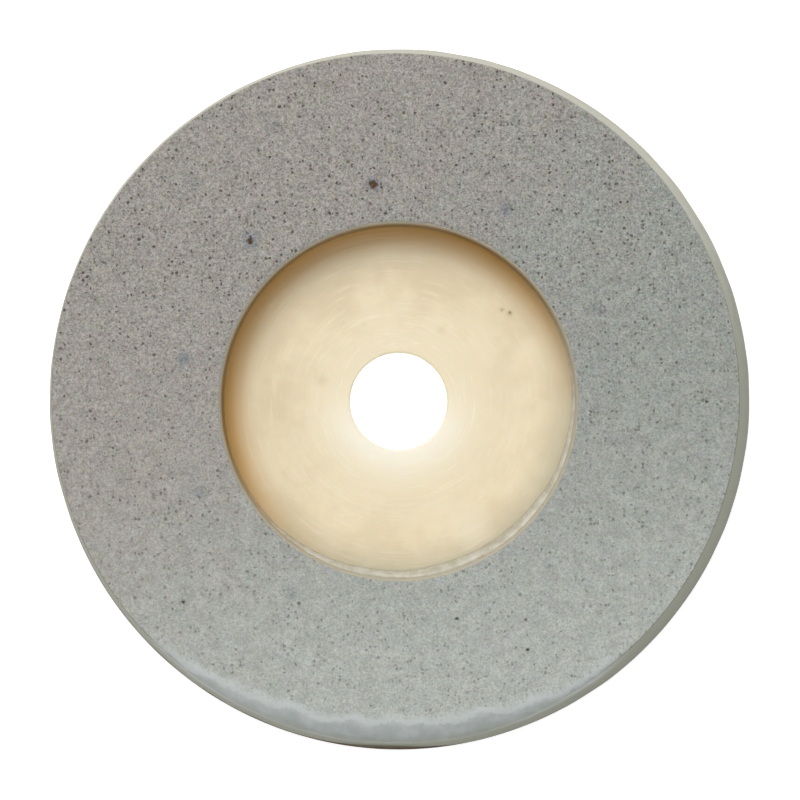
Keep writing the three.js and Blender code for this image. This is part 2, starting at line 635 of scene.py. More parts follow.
class Grit(EffectGroup):
    """Resin full of grit: open pores, bright grains, fine grain and a faint tint from grain to grain."""

    name = "bonded_grit"
    inputs = (
        ("Grain size", NUMBER, 0.3),
        ("Pore size", NUMBER, 0.3),
        ("Pore spacing", NUMBER, 1.3),
    )
    outputs = (("Pores", NUMBER), ("Grains", NUMBER), ("Grain", NUMBER), ("Tint", PAINT))

    @classmethod
    def wire(cls, sheet: NodeSheet, given: dict[str, Socket]) -> dict[str, Socket]:
        """Builds pores as cells of random size, and grains as a finer set of cells.

        Args:
            sheet: the group's node tree.
            given: the group's inputs by name.

        Returns:
            What each output is fed, by name.
        """
        place = given["Vector"]
        warp = sheet.noise(place, 0.45, detail=2.0, rough=0.7).outputs["Color"]
        ragged = sheet.vector("ADD", place, sheet.scaled(warp, 0.75))
        pore_cells = sheet.cells(ragged, given["Pore spacing"])
        luck = sheet.parts(pore_cells.outputs["Color"])
        reach = sheet.math(Op.DIVIDE, given["Pore size"], given["Pore spacing"])
        reach = sheet.times(reach, sheet.eased(luck[0], 0.3, 1.1))
        inside = sheet.minus(reach, pore_cells.outputs["Distance"])
        pores = sheet.eased(inside, -0.03, 0.09)
        pores = sheet.times(pores, sheet.eased(luck[1], 0.0, 1.0, 0.2, 1.0))
        grain_cells = sheet.cells(ragged, sheet.times(given["Grain size"], 2.2))
        grain_luck = sheet.parts(grain_cells.outputs["Color"])
        grains = sheet.eased(grain_cells.outputs["Distance"], 0.34, 0.12)
        grains = sheet.times(grains, sheet.eased(grain_luck[2], 0.55, 0.95))
        grain = sheet.noise(place, given["Grain size"], detail=1.0, rough=0.7)
        tint = sheet.cells(place, sheet.times(given["Grain size"], 1.6))
        return {
            "Pores": pores,
            "Grains": grains,
            "Grain": grain.outputs["Fac"],
            "Tint": tint.outputs["Color"],
        }


class Clouds(EffectGroup):
    """Soft cloudy patches, from 0 to 1."""

    name = "clouding"
    inputs = (("Patch size", NUMBER, 12.0), ("Offset", NUMBER, 0.0))
    outputs = (("Cloud", NUMBER),)

    @classmethod
    def wire(cls, sheet: NodeSheet, given: dict[str, Socket]) -> dict[str, Socket]:
        """Builds the patches from noise at the patch size.

        Args:
            sheet: the group's node tree.
            given: the group's inputs by name.

        Returns:
            What each output is fed, by name.
        """
        moved = sheet.vector("ADD", given["Vector"], sheet.joined(given["Offset"], 0.0, 0.0))
        cloud = sheet.noise(moved, given["Patch size"], detail=4.0, rough=0.55).outputs["Fac"]
        return {"Cloud": sheet.eased(cloud, 0.32, 0.68)}


class Turning(EffectGroup):
    """Marks that a lathe tool leaves: fine rings of varying depth that fade in and out round the axis."""

    name = "turning_marks"
    inputs = (("Pitch", NUMBER, 0.3), ("Patchiness", NUMBER, 1.5))
    outputs = (("Groove", NUMBER), ("Streak", NUMBER))

    @classmethod
    def wire(cls, sheet: NodeSheet, given: dict[str, Socket]) -> dict[str, Socket]:
        """Builds the rings from noise that is drawn out along the circle.

        Args:
            sheet: the group's node tree.
            given: the group's inputs by name.

        Returns:
            What each output is fed, by name.
        """
        x, y, _ = sheet.parts(given["Vector"])
        flat = sheet.joined(x, y, 0.0)
        radius = sheet.vector("LENGTH", flat)
        heading = sheet.vector("NORMALIZE", flat)
        head_x, head_y, _ = sheet.parts(sheet.scaled(heading, given["Patchiness"]))
        drawn = sheet.joined(sheet.math(Op.DIVIDE, radius, given["Pitch"]), head_x, head_y)
        groove = sheet.noise(drawn, 1.0, detail=2.0, rough=0.6).outputs["Fac"]
        wide = sheet.joined(
            sheet.math(Op.DIVIDE, radius, sheet.times(given["Pitch"], 1.6)),
            head_x,
            head_y,
        )
        streak = sheet.noise(wide, 1.0, detail=3.0, rough=0.7).outputs["Fac"]
        return {"Groove": groove, "Streak": sheet.eased(streak, 0.52, 0.78)}


class Spot(EffectGroup):
    """One ragged spot with a dark core and a soft halo."""

    name = "ragged_spot"
    inputs = (
        ("Centre", VECTOR, 0.0),
        ("Core radius", NUMBER, 1.0),
        ("Halo radius", NUMBER, 3.0),
        ("Raggedness", NUMBER, 0.5),
    )
    outputs = (("Core", NUMBER), ("Halo", NUMBER))

    @classmethod
    def wire(cls, sheet: NodeSheet, given: dict[str, Socket]) -> dict[str, Socket]:
        """Builds the core and halo from the distance to the spot's centre.

        Args:
            sheet: the group's node tree.
            given: the group's inputs by name.

        Returns:
            What each output is fed, by name.
        """
        place = given["Vector"]
        warp = sheet.noise(place, 0.8, detail=4.0, rough=0.75).outputs["Color"]
        shift = sheet.scaled(sheet.vector("SUBTRACT", warp, (0.5, 0.5, 0.5)), given["Raggedness"])
        away = sheet.vector("DISTANCE", sheet.vector("ADD", place, shift), given["Centre"])
        inner = sheet.times(given["Core radius"], 0.6)
        return {
            "Core": sheet.eased(away, given["Core radius"], inner),
            "Halo": sheet.eased(away, given["Halo radius"], inner),
        }


class ShadedSide(EffectGroup):
    """How much painted shade a place gets: most on the +Y, -X side of the wheel, where the key lamp's
    shadow falls, hardly at all opposite.
    """

    name = "shaded_side_share"
    outputs = (("Side", NUMBER),)

    @classmethod
    def wire(cls, sheet: NodeSheet, given: dict[str, Socket]) -> dict[str, Socket]:
        """Builds the share from the place across the wheel.

        Args:
            sheet: the group's node tree.
            given: the group's inputs by name.

        Returns:
            What each output is fed, by name.
        """
        x, y, _ = sheet.parts(given["Vector"])
        towards = sheet.minus(y, sheet.times(x, 0.6))
        return {"Side": sheet.eased(towards, -32.0, 20.0, 0.03, 1.0)}


class Grime(EffectGroup):
    """Thin patchy dirt that covers a given share of the surface."""

    name = "thin_grime"
    inputs = (("Patch size", NUMBER, 3.0), ("Cover", NUMBER, 0.4))
    outputs = (("Dirt", NUMBER),)

    @classmethod
    def wire(cls, sheet: NodeSheet, given: dict[str, Socket]) -> dict[str, Socket]:
        """Builds the dirt from broken noise, cut at the level that gives the cover.

        Args:
            sheet: the group's node tree.
            given: the group's inputs by name.

        Returns:
            What each output is fed, by name.
        """
        broken = sheet.noise(given["Vector"], given["Patch size"], detail=5.0, rough=0.65).outputs["Fac"]
        level = sheet.minus(0.72, sheet.times(given["Cover"], 0.4))
        return {"Dirt": sheet.eased(broken, level, sheet.plus(level, 0.16))}


@dataclass(frozen=True)
class Mark:
    """A stain, an inclusion or a patch of painted sheen at a place on a turned face.

    Attributes:
        heading: angle about the bore from +X, in degrees.
        radius: distance from the bore's axis, in millimetres.
        core: radius of the core, in millimetres; the core is hidden if it is 0.
        halo: radius of the soft halo, in millimetres.
        colour: colour of the core.
        haze: colour of the halo.
        strength: how much of the halo's colour shows.
    """

    heading: float
    radius: float
    core: float
    halo: float
    colour: Colour
    haze: Colour
    strength: float

    def lay_on(self, sheet: NodeSheet, place: Socket, level: float, base: Socket) -> Socket:
        """Paints the mark over a colour.

        Args:
            sheet: the finish's node tree.
            place: the place on the piece, in millimetres.
            level: the face's level, in millimetres.
            base: the colour below.

        Returns:
            The colour with the mark on it.
        """
        turn = math.radians(self.heading)
        centre = (self.radius * math.cos(turn), self.radius * math.sin(turn), level)
        spot = Spot.use(
            sheet,
            place,
            Centre=centre,
            Core_radius=max(self.core, 0.01),
            Halo_radius=self.halo,
            Raggedness=2.2 * max(self.core, 0.6),
        )
        hazy = sheet.lay(sheet.times(spot["Halo"], self.strength), base, self.haze)
        if self.core <= 0:
            return hazy
        return sheet.lay(spot["Core"], hazy, self.colour)


@dataclass(frozen=True)
class Finish:
    """What every finish has in common: a name and the strength of its plain reflection.

    Attributes:
        name: the material's name.
        specular: strength of the plain reflection.
    """

    name: str
    specular: float = 0.4

    def make(self) -> bpy.types.Material:
        """Builds the material.

        Returns:
            The material, with its shader fed by the finish's own nodes.
        """
        made = bpy.data.materials.new(self.name)
        made.use_nodes = True
        sheet = NodeSheet(made.node_tree)
        shader = sheet.node("ShaderNodeBsdfPrincipled")
        shader.inputs["Specular IOR Level"].default_value = self.specular
        end = sheet.node("ShaderNodeOutputMaterial")
        sheet.feed(end.inputs["Surface"], shader.outputs["BSDF"])
        self.wire(sheet, shader)
        return made

    def wire(self, sheet: NodeSheet, shader: bpy.types.Node) -> None:
        """Feeds the shader's colour, roughness and normal.

        Args:
            sheet: the finish's node tree.
            shader: the material's shader.
        """
        raise NotImplementedError


@dataclass(frozen=True)
class BondedAbrasive(Finish):
    """Grey resin and grit: a dressed porous face, a smooth cast skin, and a worn, polished stretch.

    Attributes:
        face_level: level of the grinding face, in millimetres.
        foot_level: level of the ring's foot, in millimetres.
        marks: inclusions and blotches of the face.
        warm: colour of the face where it is warm.
        cool: colour of the face where it is cool.
        pale: colour of the face towards -Y, paler partly from dried grinding sludge and partly as painted
            light.
        pore: colour of the open pores.
        fleck: colour of the bright grains.
        skin_high: colour of the cast skin near the face.
        skin_low: colour of the cast skin near the foot.
        skin_shaded: colour of the painted shade on the cast skin, on the sides turned away from the key
            lamp.
        skin_dirt: colour of the patches of dirt on it.
        wall: colour of the recess's wall, where glue has soaked in.
        wall_bare: colour of the recess's wall, where it is clean.
        wall_shaded: colour of the painted shade at the foot of that wall, on its shadowed side.
        worn: colour of the polished stretch.
        dust: colour of the pale dust along its border.
    """

    face_level: float = 0.0
    foot_level: float = 0.0
    marks: tuple[Mark, ...] = ()
    warm: Colour = (0.36, 0.338, 0.31)
    cool: Colour = (0.342, 0.358, 0.332)
    pale: Colour = (0.45, 0.47, 0.44)
    pore: Colour = (0.06, 0.05, 0.038)
    fleck: Colour = (0.6, 0.58, 0.53)
    skin_high: Colour = (0.38, 0.372, 0.3)
    skin_low: Colour = (0.405, 0.4, 0.3)
    skin_shaded: Colour = (0.188, 0.19, 0.121)
    skin_dirt: Colour = (0.33, 0.3, 0.2)
    wall: Colour = (0.66, 0.62, 0.52)
    wall_bare: Colour = (0.58, 0.585, 0.53)
    wall_shaded: Colour = (0.4, 0.23, 0.07)
    worn: Colour = (0.405, 0.433, 0.418)
    dust: Colour = (0.56, 0.59, 0.58)

    def wire(self, sheet: NodeSheet, shader: bpy.types.Node) -> None:
        """Feeds the shader with face, skin and worn stretch, parted by the ring's own measures.

        Args:
            sheet: the finish's node tree.
            shader: the material's shader.
        """
        place = sheet.millimetres()
        grit = Grit.use(sheet, place, Grain_size=0.33, Pore_size=0.37, Pore_spacing=0.78)
        coarse = Grit.use(sheet, place, Grain_size=0.5, Pore_size=0.5, Pore_spacing=3.4)
        break_up = sheet.noise(place, 0.8, detail=3.0, rough=0.6).outputs["Fac"]
        break_up = sheet.minus(break_up, 0.5)
        face = self.face_colour(sheet, place, grit, coarse)
        skin = self.skin_colour(sheet, place)

        past_edge = sheet.plus(sheet.measure("past_edge"), sheet.times(break_up, 0.5))
        is_skin = sheet.eased(past_edge, -0.12, 0.1)
        colour = sheet.lay(is_skin, face, skin)
        worn, colour = self.worn_stretch(sheet, place, break_up, colour, skin)
        wall = sheet.eased(sheet.measure("down_wall"), -0.15, 0.3)
        colour = sheet.lay(wall, colour, self.wall_colour(sheet, place))
        sheet.feed(shader.inputs["Base Color"], colour)

        closed = sheet.math(Op.LARGER, is_skin, worn)
        sheet.feed(shader.inputs["Roughness"], sheet.eased(closed, 0.0, 1.0, 0.86, 0.5))
        open_share = sheet.minus(1.0, sheet.times(closed, 0.85))
        pits = sheet.math(Op.LARGER, grit["Pores"], coarse["Pores"])
        height = sheet.minus(sheet.times(grit["Grain"], 0.45), pits)
        height = sheet.times(height, open_share)
        sheet.feed(shader.inputs["Normal"], sheet.bump(height, 0.06 * MM))

    def worn_stretch(
        self, sheet: NodeSheet, place: Socket, break_up: Socket, colour: Socket, skin: Socket
    ) -> tuple[Socket, Socket]:
        """Lays the polished stretch over the rest, with pale dust along its ragged border.

        Args:
            sheet: the finish's node tree.
            place: the place on the piece, in millimetres.
            break_up: fine noise from -0.5 to 0.5.
            colour: the colour of face and skin.
            skin: the skin's colour, which the stretch fades into on its way down the rim.

        Returns:
            The stretch's share, and the colour with the stretch on it.
        """
        wander = sheet.noise(place, 5.0, detail=2.0).outputs["Fac"]
        wander = sheet.times(sheet.minus(wander, 0.5), 4.5)
        ragged = sheet.plus(sheet.measure("into_wear"), sheet.times(break_up, 2.4), wander)
        share = sheet.measure("wear_share")
        worn = sheet.times(sheet.eased(ragged, 0.1, 0.9), share)
        dust_and_shade = sheet.times(sheet.eased(ragged, -1.4, 0.6), sheet.eased(ragged, 1.9, 0.9), share)
        streaks = sheet.noise(place, 2.8, detail=4.0, rough=0.55).outputs["Fac"]
        mottled = sheet.lay(sheet.eased(streaks, 0.3, 0.74, 0.0, 0.6), self.worn, self.dust)
        down_rim = sheet.plus(sheet.measure("past_edge"), sheet.times(wander, 0.5))
        faded = sheet.lay(sheet.eased(down_rim, -1.0, 6.0), mottled, skin)
        colour = sheet.lay(worn, colour, faded)
        return worn, sheet.lay(sheet.times(dust_and_shade, 0.8), colour, self.dust)

    def wall_colour(self, sheet: NodeSheet, place: Socket) -> Socket:
        """Works out the colour of the recess's wall, with painted shade at its foot on the side where the
        key lamp's shadow falls.

        Args:
            sheet: the finish's node tree.
            place: the place on the piece, in millimetres.

        Returns:
            The colour's socket.
        """
        bare = Clouds.use(sheet, place, Patch_size=5.0, Offset=21.0)["Cloud"]
        # Painted shade: amber-brown at the wall's foot, on the shadowed side.
        low = sheet.eased(sheet.measure("down_wall"), 4.0, 10.0, 0.0, 0.9)
        shaded_side = sheet.times(ShadedSide.use(sheet, place)["Side"], low)
        return sheet.lay(shaded_side, sheet.lay(bare, self.wall, self.wall_bare), self.wall_shaded)

    def face_colour(
        self,
        sheet: NodeSheet,
        place: Socket,
        grit: dict[str, Socket],
        coarse: dict[str, Socket],
    ) -> Socket:
        """Works out the dressed face's colour.

        Args:
            sheet: the finish's node tree.
            place: the place on the piece, in millimetres.
            grit: the fine grit's outputs.
            coarse: the outputs of the rare larger pores.

        Returns:
            The colour's socket.
        """
        x, y, _ = sheet.parts(place)
        lean = sheet.minus(sheet.times(x, 0.75), sheet.times(y, 0.65))
        cloud = Clouds.use(sheet, place, Patch_size=9.0, Offset=3.0)["Cloud"]
        fine_cloud = Clouds.use(sheet, place, Patch_size=3.2, Offset=40.0)["Cloud"]
        drift = sheet.plus(lean, sheet.times(cloud, 26.0))
        colour = sheet.lay(sheet.eased(drift, -25.0, 45.0), self.warm, self.cool)
        # Paler towards -Y: partly dried sludge that fills the pores, partly painted light, as the face is
        # brighter on that side.
        slurry_and_light = sheet.minus(sheet.times(x, 0.18), y)
        slurry_and_light = sheet.plus(slurry_and_light, sheet.times(fine_cloud, 9.0))
        colour = sheet.lay(sheet.eased(slurry_and_light, 5.0, 82.0, 0.0, 0.85), colour, self.pale)
        shade = sheet.eased(fine_cloud, 0.0, 1.0, 0.955, 1.045)
        # Painted light and shade: darker towards +Y and lighter towards -Y.
        shade = sheet.times(shade, sheet.eased(y, -60.0, 45.0, 1.06, 0.9))
        filled = sheet.eased(slurry_and_light, -45.0, 50.0)
        lumps = sheet.noise(place, 0.85, detail=1.0, rough=0.6).outputs["Fac"]
        grain = sheet.eased(grit["Grain"], 0.24, 0.72, 0.62, 1.3)
        grain = sheet.times(grain, sheet.eased(lumps, 0.26, 0.74, 0.86, 1.12))
        calm = sheet.times(filled, 0.45)
        grain = sheet.plus(grain, sheet.times(sheet.minus(1.0, grain), calm))
        shade = sheet.times(shade, grain)
        for mark in self.marks:
            colour = mark.lay_on(sheet, place, self.face_level, colour)
        colour = sheet.scaled(colour, shade)
        colour = sheet.lay(0.03, colour, grit["Tint"])
        colour = sheet.lay(sheet.times(grit["Grains"], 0.5), colour, self.fleck)
        specks = sheet.times(grit["Pores"], sheet.minus(0.9, calm))
        colour = sheet.lay(specks, colour, self.pore)
        return sheet.lay(sheet.times(coarse["Pores"], 0.9), colour, self.pore)

    def skin_colour(self, sheet: NodeSheet, place: Socket) -> Socket:
        """Works out the cast skin's colour, with painted shade: darkest on the -Y side, turned away from
        the key lamp, and darker towards its foot.

        Args:
            sheet: the finish's node tree.
            place: the place on the piece, in millimetres.

        Returns:
            The colour's socket.
        """
        x, y, level = sheet.parts(place)
        cloud = Clouds.use(sheet, place, Patch_size=6.0, Offset=11.0)["Cloud"]
        drift = sheet.plus(level, sheet.times(cloud, 3.0))
        low = sheet.eased(drift, self.face_level - 1.0, self.foot_level + 3.0)
        colour = sheet.lay(low, self.skin_high, self.skin_low)
        # Painted shade on the sides of the rim turned away from the key lamp, broken by soft patches.
        handled_and_shaded = sheet.minus(sheet.times(sheet.math(Op.ABSOLUTE, x), 0.8), y)
        handled_and_shaded = sheet.plus(handled_and_shaded, sheet.times(cloud, 12.0))
        colour = sheet.lay(sheet.eased(handled_and_shaded, 0.0, 62.0), colour, self.skin_shaded)
        dirt = Grime.use(sheet, place, Patch_size=4.0, Cover=0.2)["Dirt"]
        colour = sheet.lay(sheet.times(dirt, 0.2), colour, self.skin_dirt)
        faint = sheet.noise(place, 0.35, detail=1.0).outputs["Fac"]
        # Painted shade: the skin darkens towards its foot.
        foot_shade = sheet.eased(level, self.foot_level, self.foot_level + 7.0, 0.9, 1.03)
        return sheet.scaled(colour, sheet.times(sheet.eased(faint, 0.2, 0.8, 0.93, 1.07), foot_shade))


@dataclass(frozen=True)
class TurnedPlastic(Finish):
    """Ivory plastic, turned on a lathe: soft mottling, fine rings, old stains and an amber corner, with
    painted shade towards the ring's wall and along the plate's rim, and patches of painted sheen.

    Attributes:
        floor_level: level of the recess's floor, in millimetres.
        recess_radius: radius of the recess's wall, in millimetres.
        rim_radius: radius of the plate, in millimetres.
        bore_radius: radius of the bore, in millimetres.
        marks: stains of the recess's floor, and patches of painted sheen.
        pale: colour where the plastic is palest.
        deep: colour where it is deepest.
        handled_and_shaded: colour of the dirt on the plate's back.
        dust_and_shade: colour of the painted shade next to the ring's wall.
        streaked: colour of the pale turned streaks.
        bore_pale: colour of the paler plastic near the bore.
        amber: colour of the corner under the ring's wall, stained by glue and darkened as painted shade.
        soil_and_shade: colour of the painted shade along the plate's rim.
    """

    floor_level: float = 0.0
    recess_radius: float = 0.0
    rim_radius: float = 0.0
    bore_radius: float = 0.0
    marks: tuple[Mark, ...] = ()
    pale: Colour = (0.84, 0.735, 0.515)
    deep: Colour = (0.72, 0.6, 0.4)
    handled_and_shaded: Colour = (0.42, 0.36, 0.25)
    dust_and_shade: Colour = (0.44, 0.43, 0.335)
    streaked: Colour = (0.93, 0.86, 0.67)
    bore_pale: Colour = (0.97, 0.92, 0.79)
    amber: Colour = (0.52, 0.27, 0.035)
    soil_and_shade: Colour = (0.085, 0.045, 0.018)

    def wire(self, sheet: NodeSheet, shader: bpy.types.Node) -> None:
        """Feeds the shader with the plastic's colour, gloss and turned surface.

        Args:
            sheet: the finish's node tree.
            shader: the material's shader.
        """
        place = sheet.millimetres()
        x, y, level = sheet.parts(place)
        radius = sheet.vector("LENGTH", sheet.joined(x, y, 0.0))
        cloud = Clouds.use(sheet, place, Patch_size=8.0, Offset=5.0)["Cloud"]
        marks = Turning.use(sheet, place, Pitch=0.35, Patchiness=2.6)

        front = sheet.eased(level, self.floor_level - 1.5, self.floor_level - 0.2)
        shaded_side = ShadedSide.use(sheet, place)["Side"]
        # Painted shade: the colour deepens towards the ring's wall, from further in on the shadowed side,
        # broken by soft patches.
        reach = sheet.plus(radius, sheet.times(cloud, 9.0))
        reach = sheet.plus(reach, sheet.times(shaded_side, 8.0))
        depth = sheet.eased(reach, self.bore_radius + 16.0, self.recess_radius + 8.0)
        colour = sheet.lay(sheet.times(depth, front), self.pale, self.deep)
        colour = sheet.lay(self.back_dirt(sheet, place, front), colour, self.handled_and_shaded)
        # Painted shade: grey-green darkening next to the ring's wall, weakest on the shadowed side, which
        # has the amber corner instead.
        off_shaded_side = sheet.minus(front, sheet.times(shaded_side, 0.75))
        near_wall = sheet.eased(radius, self.recess_radius - 9.0, self.recess_radius, 0.0, 0.6)
        colour = sheet.lay(sheet.times(near_wall, off_shaded_side), colour, self.dust_and_shade)
        worked = sheet.eased(radius, self.recess_radius - 5.0, self.bore_radius + 4.0, 0.25, 0.75)
        colour = sheet.lay(sheet.times(marks["Streak"], worked), colour, self.streaked)
        colour = sheet.lay(self.bore_paleness(sheet, y, radius), colour, self.bore_pale)
        for mark in self.marks:
            colour = mark.lay_on(sheet, place, self.floor_level, colour)
        # Amber corner under the ring's wall: stained by glue and deepened by painted shade.
        stain_and_shade = sheet.times(self.corner_stain_and_shade(sheet, place, radius), front)
        colour = sheet.lay(stain_and_shade, colour, self.amber)
        # Painted shade: dark brown along the plate's rim, in soft patches.
        rim = sheet.eased(radius, self.rim_radius - 2.5, self.rim_radius - 0.4)
        dirt = Clouds.use(sheet, place, Patch_size=7.0, Offset=31.0)["Cloud"]
        rim_shade = sheet.times(rim, sheet.eased(dirt, 0.0, 1.0, 0.82, 0.97))
        colour = sheet.lay(rim_shade, colour, self.soil_and_shade)
        sheet.feed(shader.inputs["Base Color"], colour)

        rough = sheet.eased(marks["Groove"], 0.3, 0.7, 0.36, 0.5)
        sheet.feed(shader.inputs["Roughness"], rough)
        shader.inputs["Subsurface Weight"].default_value = 0.25
        shader.inputs["Subsurface Radius"].default_value = (1.0, 0.6, 0.25)
        shader.inputs["Subsurface Scale"].default_value = 2.0 * MM
        lumps = sheet.noise(place, 2.6, detail=2.0).outputs["Fac"]
        relief = sheet.bump(marks["Groove"], 0.045 * MM)
        sheet.feed(shader.inputs["Normal"], sheet.bump(lumps, 0.05 * MM, relief))

    def bore_paleness(self, sheet: NodeSheet, y: Socket, radius: Socket) -> Socket:
        """Works out how pale the plastic near the bore is: palest on the -Y side.

        Args:
            sheet: the finish's node tree.
            y: the place along Y, in millimetres.
            radius: the distance from the axis, in millimetres.

        Returns:
            The share of the pale colour.
        """
        near = sheet.eased(radius, self.bore_radius + 13.0, self.bore_radius)
        side = sheet.eased(y, 6.0, -9.0, 0.1, 0.85)
        return sheet.times(near, near, side)

    def back_dirt(self, sheet: NodeSheet, place: Socket, front: Socket) -> Socket:
        """Works out where handling has dirtied the plate's back.

        Args:
            sheet: the finish's node tree.
            place: the place on the piece, in millimetres.
            front: how far the place belongs to the plate's front.

        Returns:
            The share of the dirt's colour.
        """
        haze = Clouds.use(sheet, place, Patch_size=22.0, Offset=60.0)["Cloud"]
        dirt = Grime.use(sheet, place, Patch_size=9.0, Cover=0.35)["Dirt"]
        both = sheet.plus(sheet.times(haze, 0.4), sheet.times(dirt, 0.3))
        return sheet.times(both, sheet.minus(1.0, front))

    def corner_stain_and_shade(self, sheet: NodeSheet, place: Socket, radius: Socket) -> Socket:
        """Works out how much amber shows, stained by glue and painted shade: most under the wall on the +Y
        side, where the key lamp's shadow falls.

        Args:
            sheet: the finish's node tree.
            place: the place on the piece, in millimetres.
            radius: the distance from the axis, in millimetres.

        Returns:
            The stain's share.
        """
        side = ShadedSide.use(sheet, place)["Side"]
        ramp = sheet.eased(radius, self.recess_radius - 7.0, self.recess_radius + 0.2)
        return sheet.times(ramp, side)


@dataclass(frozen=True)
class ClearGlue(Finish):
    """Hard clear glue, greyed by grit and full of tiny bubbles, with painted shade on the side where the
    key lamp's shadow falls.

    Attributes:
        body: colour of the glue.
        milky: colour where it is cloudy.
        soil_and_shade: colour of dirt caught on it.
        shaded_side: colour of the painted shade on the glue's shadowed side.
        bubble: colour of the bubbles.
        clearness: how much light goes through.
    """

    body: Colour = (0.6, 0.57, 0.46)
    milky: Colour = (0.75, 0.73, 0.64)
    soil_and_shade: Colour = (0.4, 0.3, 0.17)
    shaded_side: Colour = (0.36, 0.21, 0.05)
    bubble: Colour = (0.85, 0.84, 0.78)
    clearness: float = 0.15

    def wire(self, sheet: NodeSheet, shader: bpy.types.Node) -> None:
        """Feeds the shader with cloudy glue, bubbles and a lumpy gloss.

        Args:
            sheet: the finish's node tree.
            shader: the material's shader.
        """
        place = sheet.millimetres()
        cloud = Clouds.use(sheet, place, Patch_size=2.4, Offset=2.0)["Cloud"]
        colour = sheet.lay(cloud, self.body, self.milky)
        bubbles = Grit.use(sheet, place, Grain_size=0.4, Pore_size=0.35, Pore_spacing=1.6)
        colour = sheet.lay(sheet.times(bubbles["Grains"], 0.6), colour, self.bubble)
        dirt = Grime.use(sheet, place, Patch_size=2.0, Cover=0.3)["Dirt"]
        colour = sheet.lay(sheet.times(dirt, 0.5), colour, self.soil_and_shade)
        # Painted shade: amber-brown on the side where the key lamp's shadow falls.
        shaded_side = sheet.times(ShadedSide.use(sheet, place)["Side"], 0.85)
        sheet.feed(shader.inputs["Base Color"], sheet.lay(shaded_side, colour, self.shaded_side))
        sheet.feed(shader.inputs["Roughness"], sheet.eased(dirt, 0.0, 1.0, 0.34, 0.6))
        shader.inputs["Transmission Weight"].default_value = self.clearness
        shader.inputs["IOR"].default_value = 1.5
        lumps = sheet.noise(place, 1.1, detail=2.0).outputs["Fac"]
        sheet.feed(shader.inputs["Normal"], sheet.bump(lumps, 0.03 * MM))


@dataclass(frozen=True)
class PlatedSteel(Finish):
    """Zinc-plated steel, dulled and freckled with rust, with grime caught in the driver's cross.

    Attributes:
        head_level: level of the screws' heads, in millimetres.
        bright: colour of the clean plating.
        dull: colour of the dulled plating.
        rust: colour of the rust.
    """

    head_level: float = 0.0
    bright: Colour = (0.62, 0.62, 0.6)
    dull: Colour = (0.36, 0.355, 0.34)
    rust: Colour = (0.13, 0.055, 0.022)

    def wire(self, sheet: NodeSheet, shader: bpy.types.Node) -> None:
        """Feeds the shader with dulled plating, rust freckles and fine scratches.

        Args:
            sheet: the finish's node tree.
            shader: the material's shader.
        """
        place = sheet.millimetres()
        level = sheet.parts(place)[2]
        cloud = Clouds.use(sheet, place, Patch_size=1.6, Offset=7.0)["Cloud"]
        colour = sheet.lay(cloud, self.bright, self.dull)
        freckles = Grime.use(sheet, place, Patch_size=0.9, Cover=0.35)["Dirt"]
        sunk = sheet.eased(level, self.head_level + 0.1, self.head_level + 1.3)
        rusty = sheet.math(Op.LARGER, freckles, sheet.times(sunk, 0.6))
        sheet.feed(shader.inputs["Base Color"], sheet.lay(rusty, colour, self.rust))
        sheet.feed(shader.inputs["Metallic"], sheet.eased(rusty, 0.3, 0.8, 1.0, 0.0))
        sheet.feed(shader.inputs["Roughness"], sheet.eased(rusty, 0.0, 0.8, 0.34, 0.8))
        scratches = sheet.noise(sheet.vector("MULTIPLY", place, (1.0, 14.0, 1.0)), 0.5, detail=2.0)
        relief = sheet.bump(scratches.outputs["Fac"], 0.01 * MM)
        sheet.feed(shader.inputs["Normal"], sheet.bump(rusty, 0.03 * MM, relief))


# ---------------------------------------------------------------------------
# Pieces
# ---------------------------------------------------------------------------


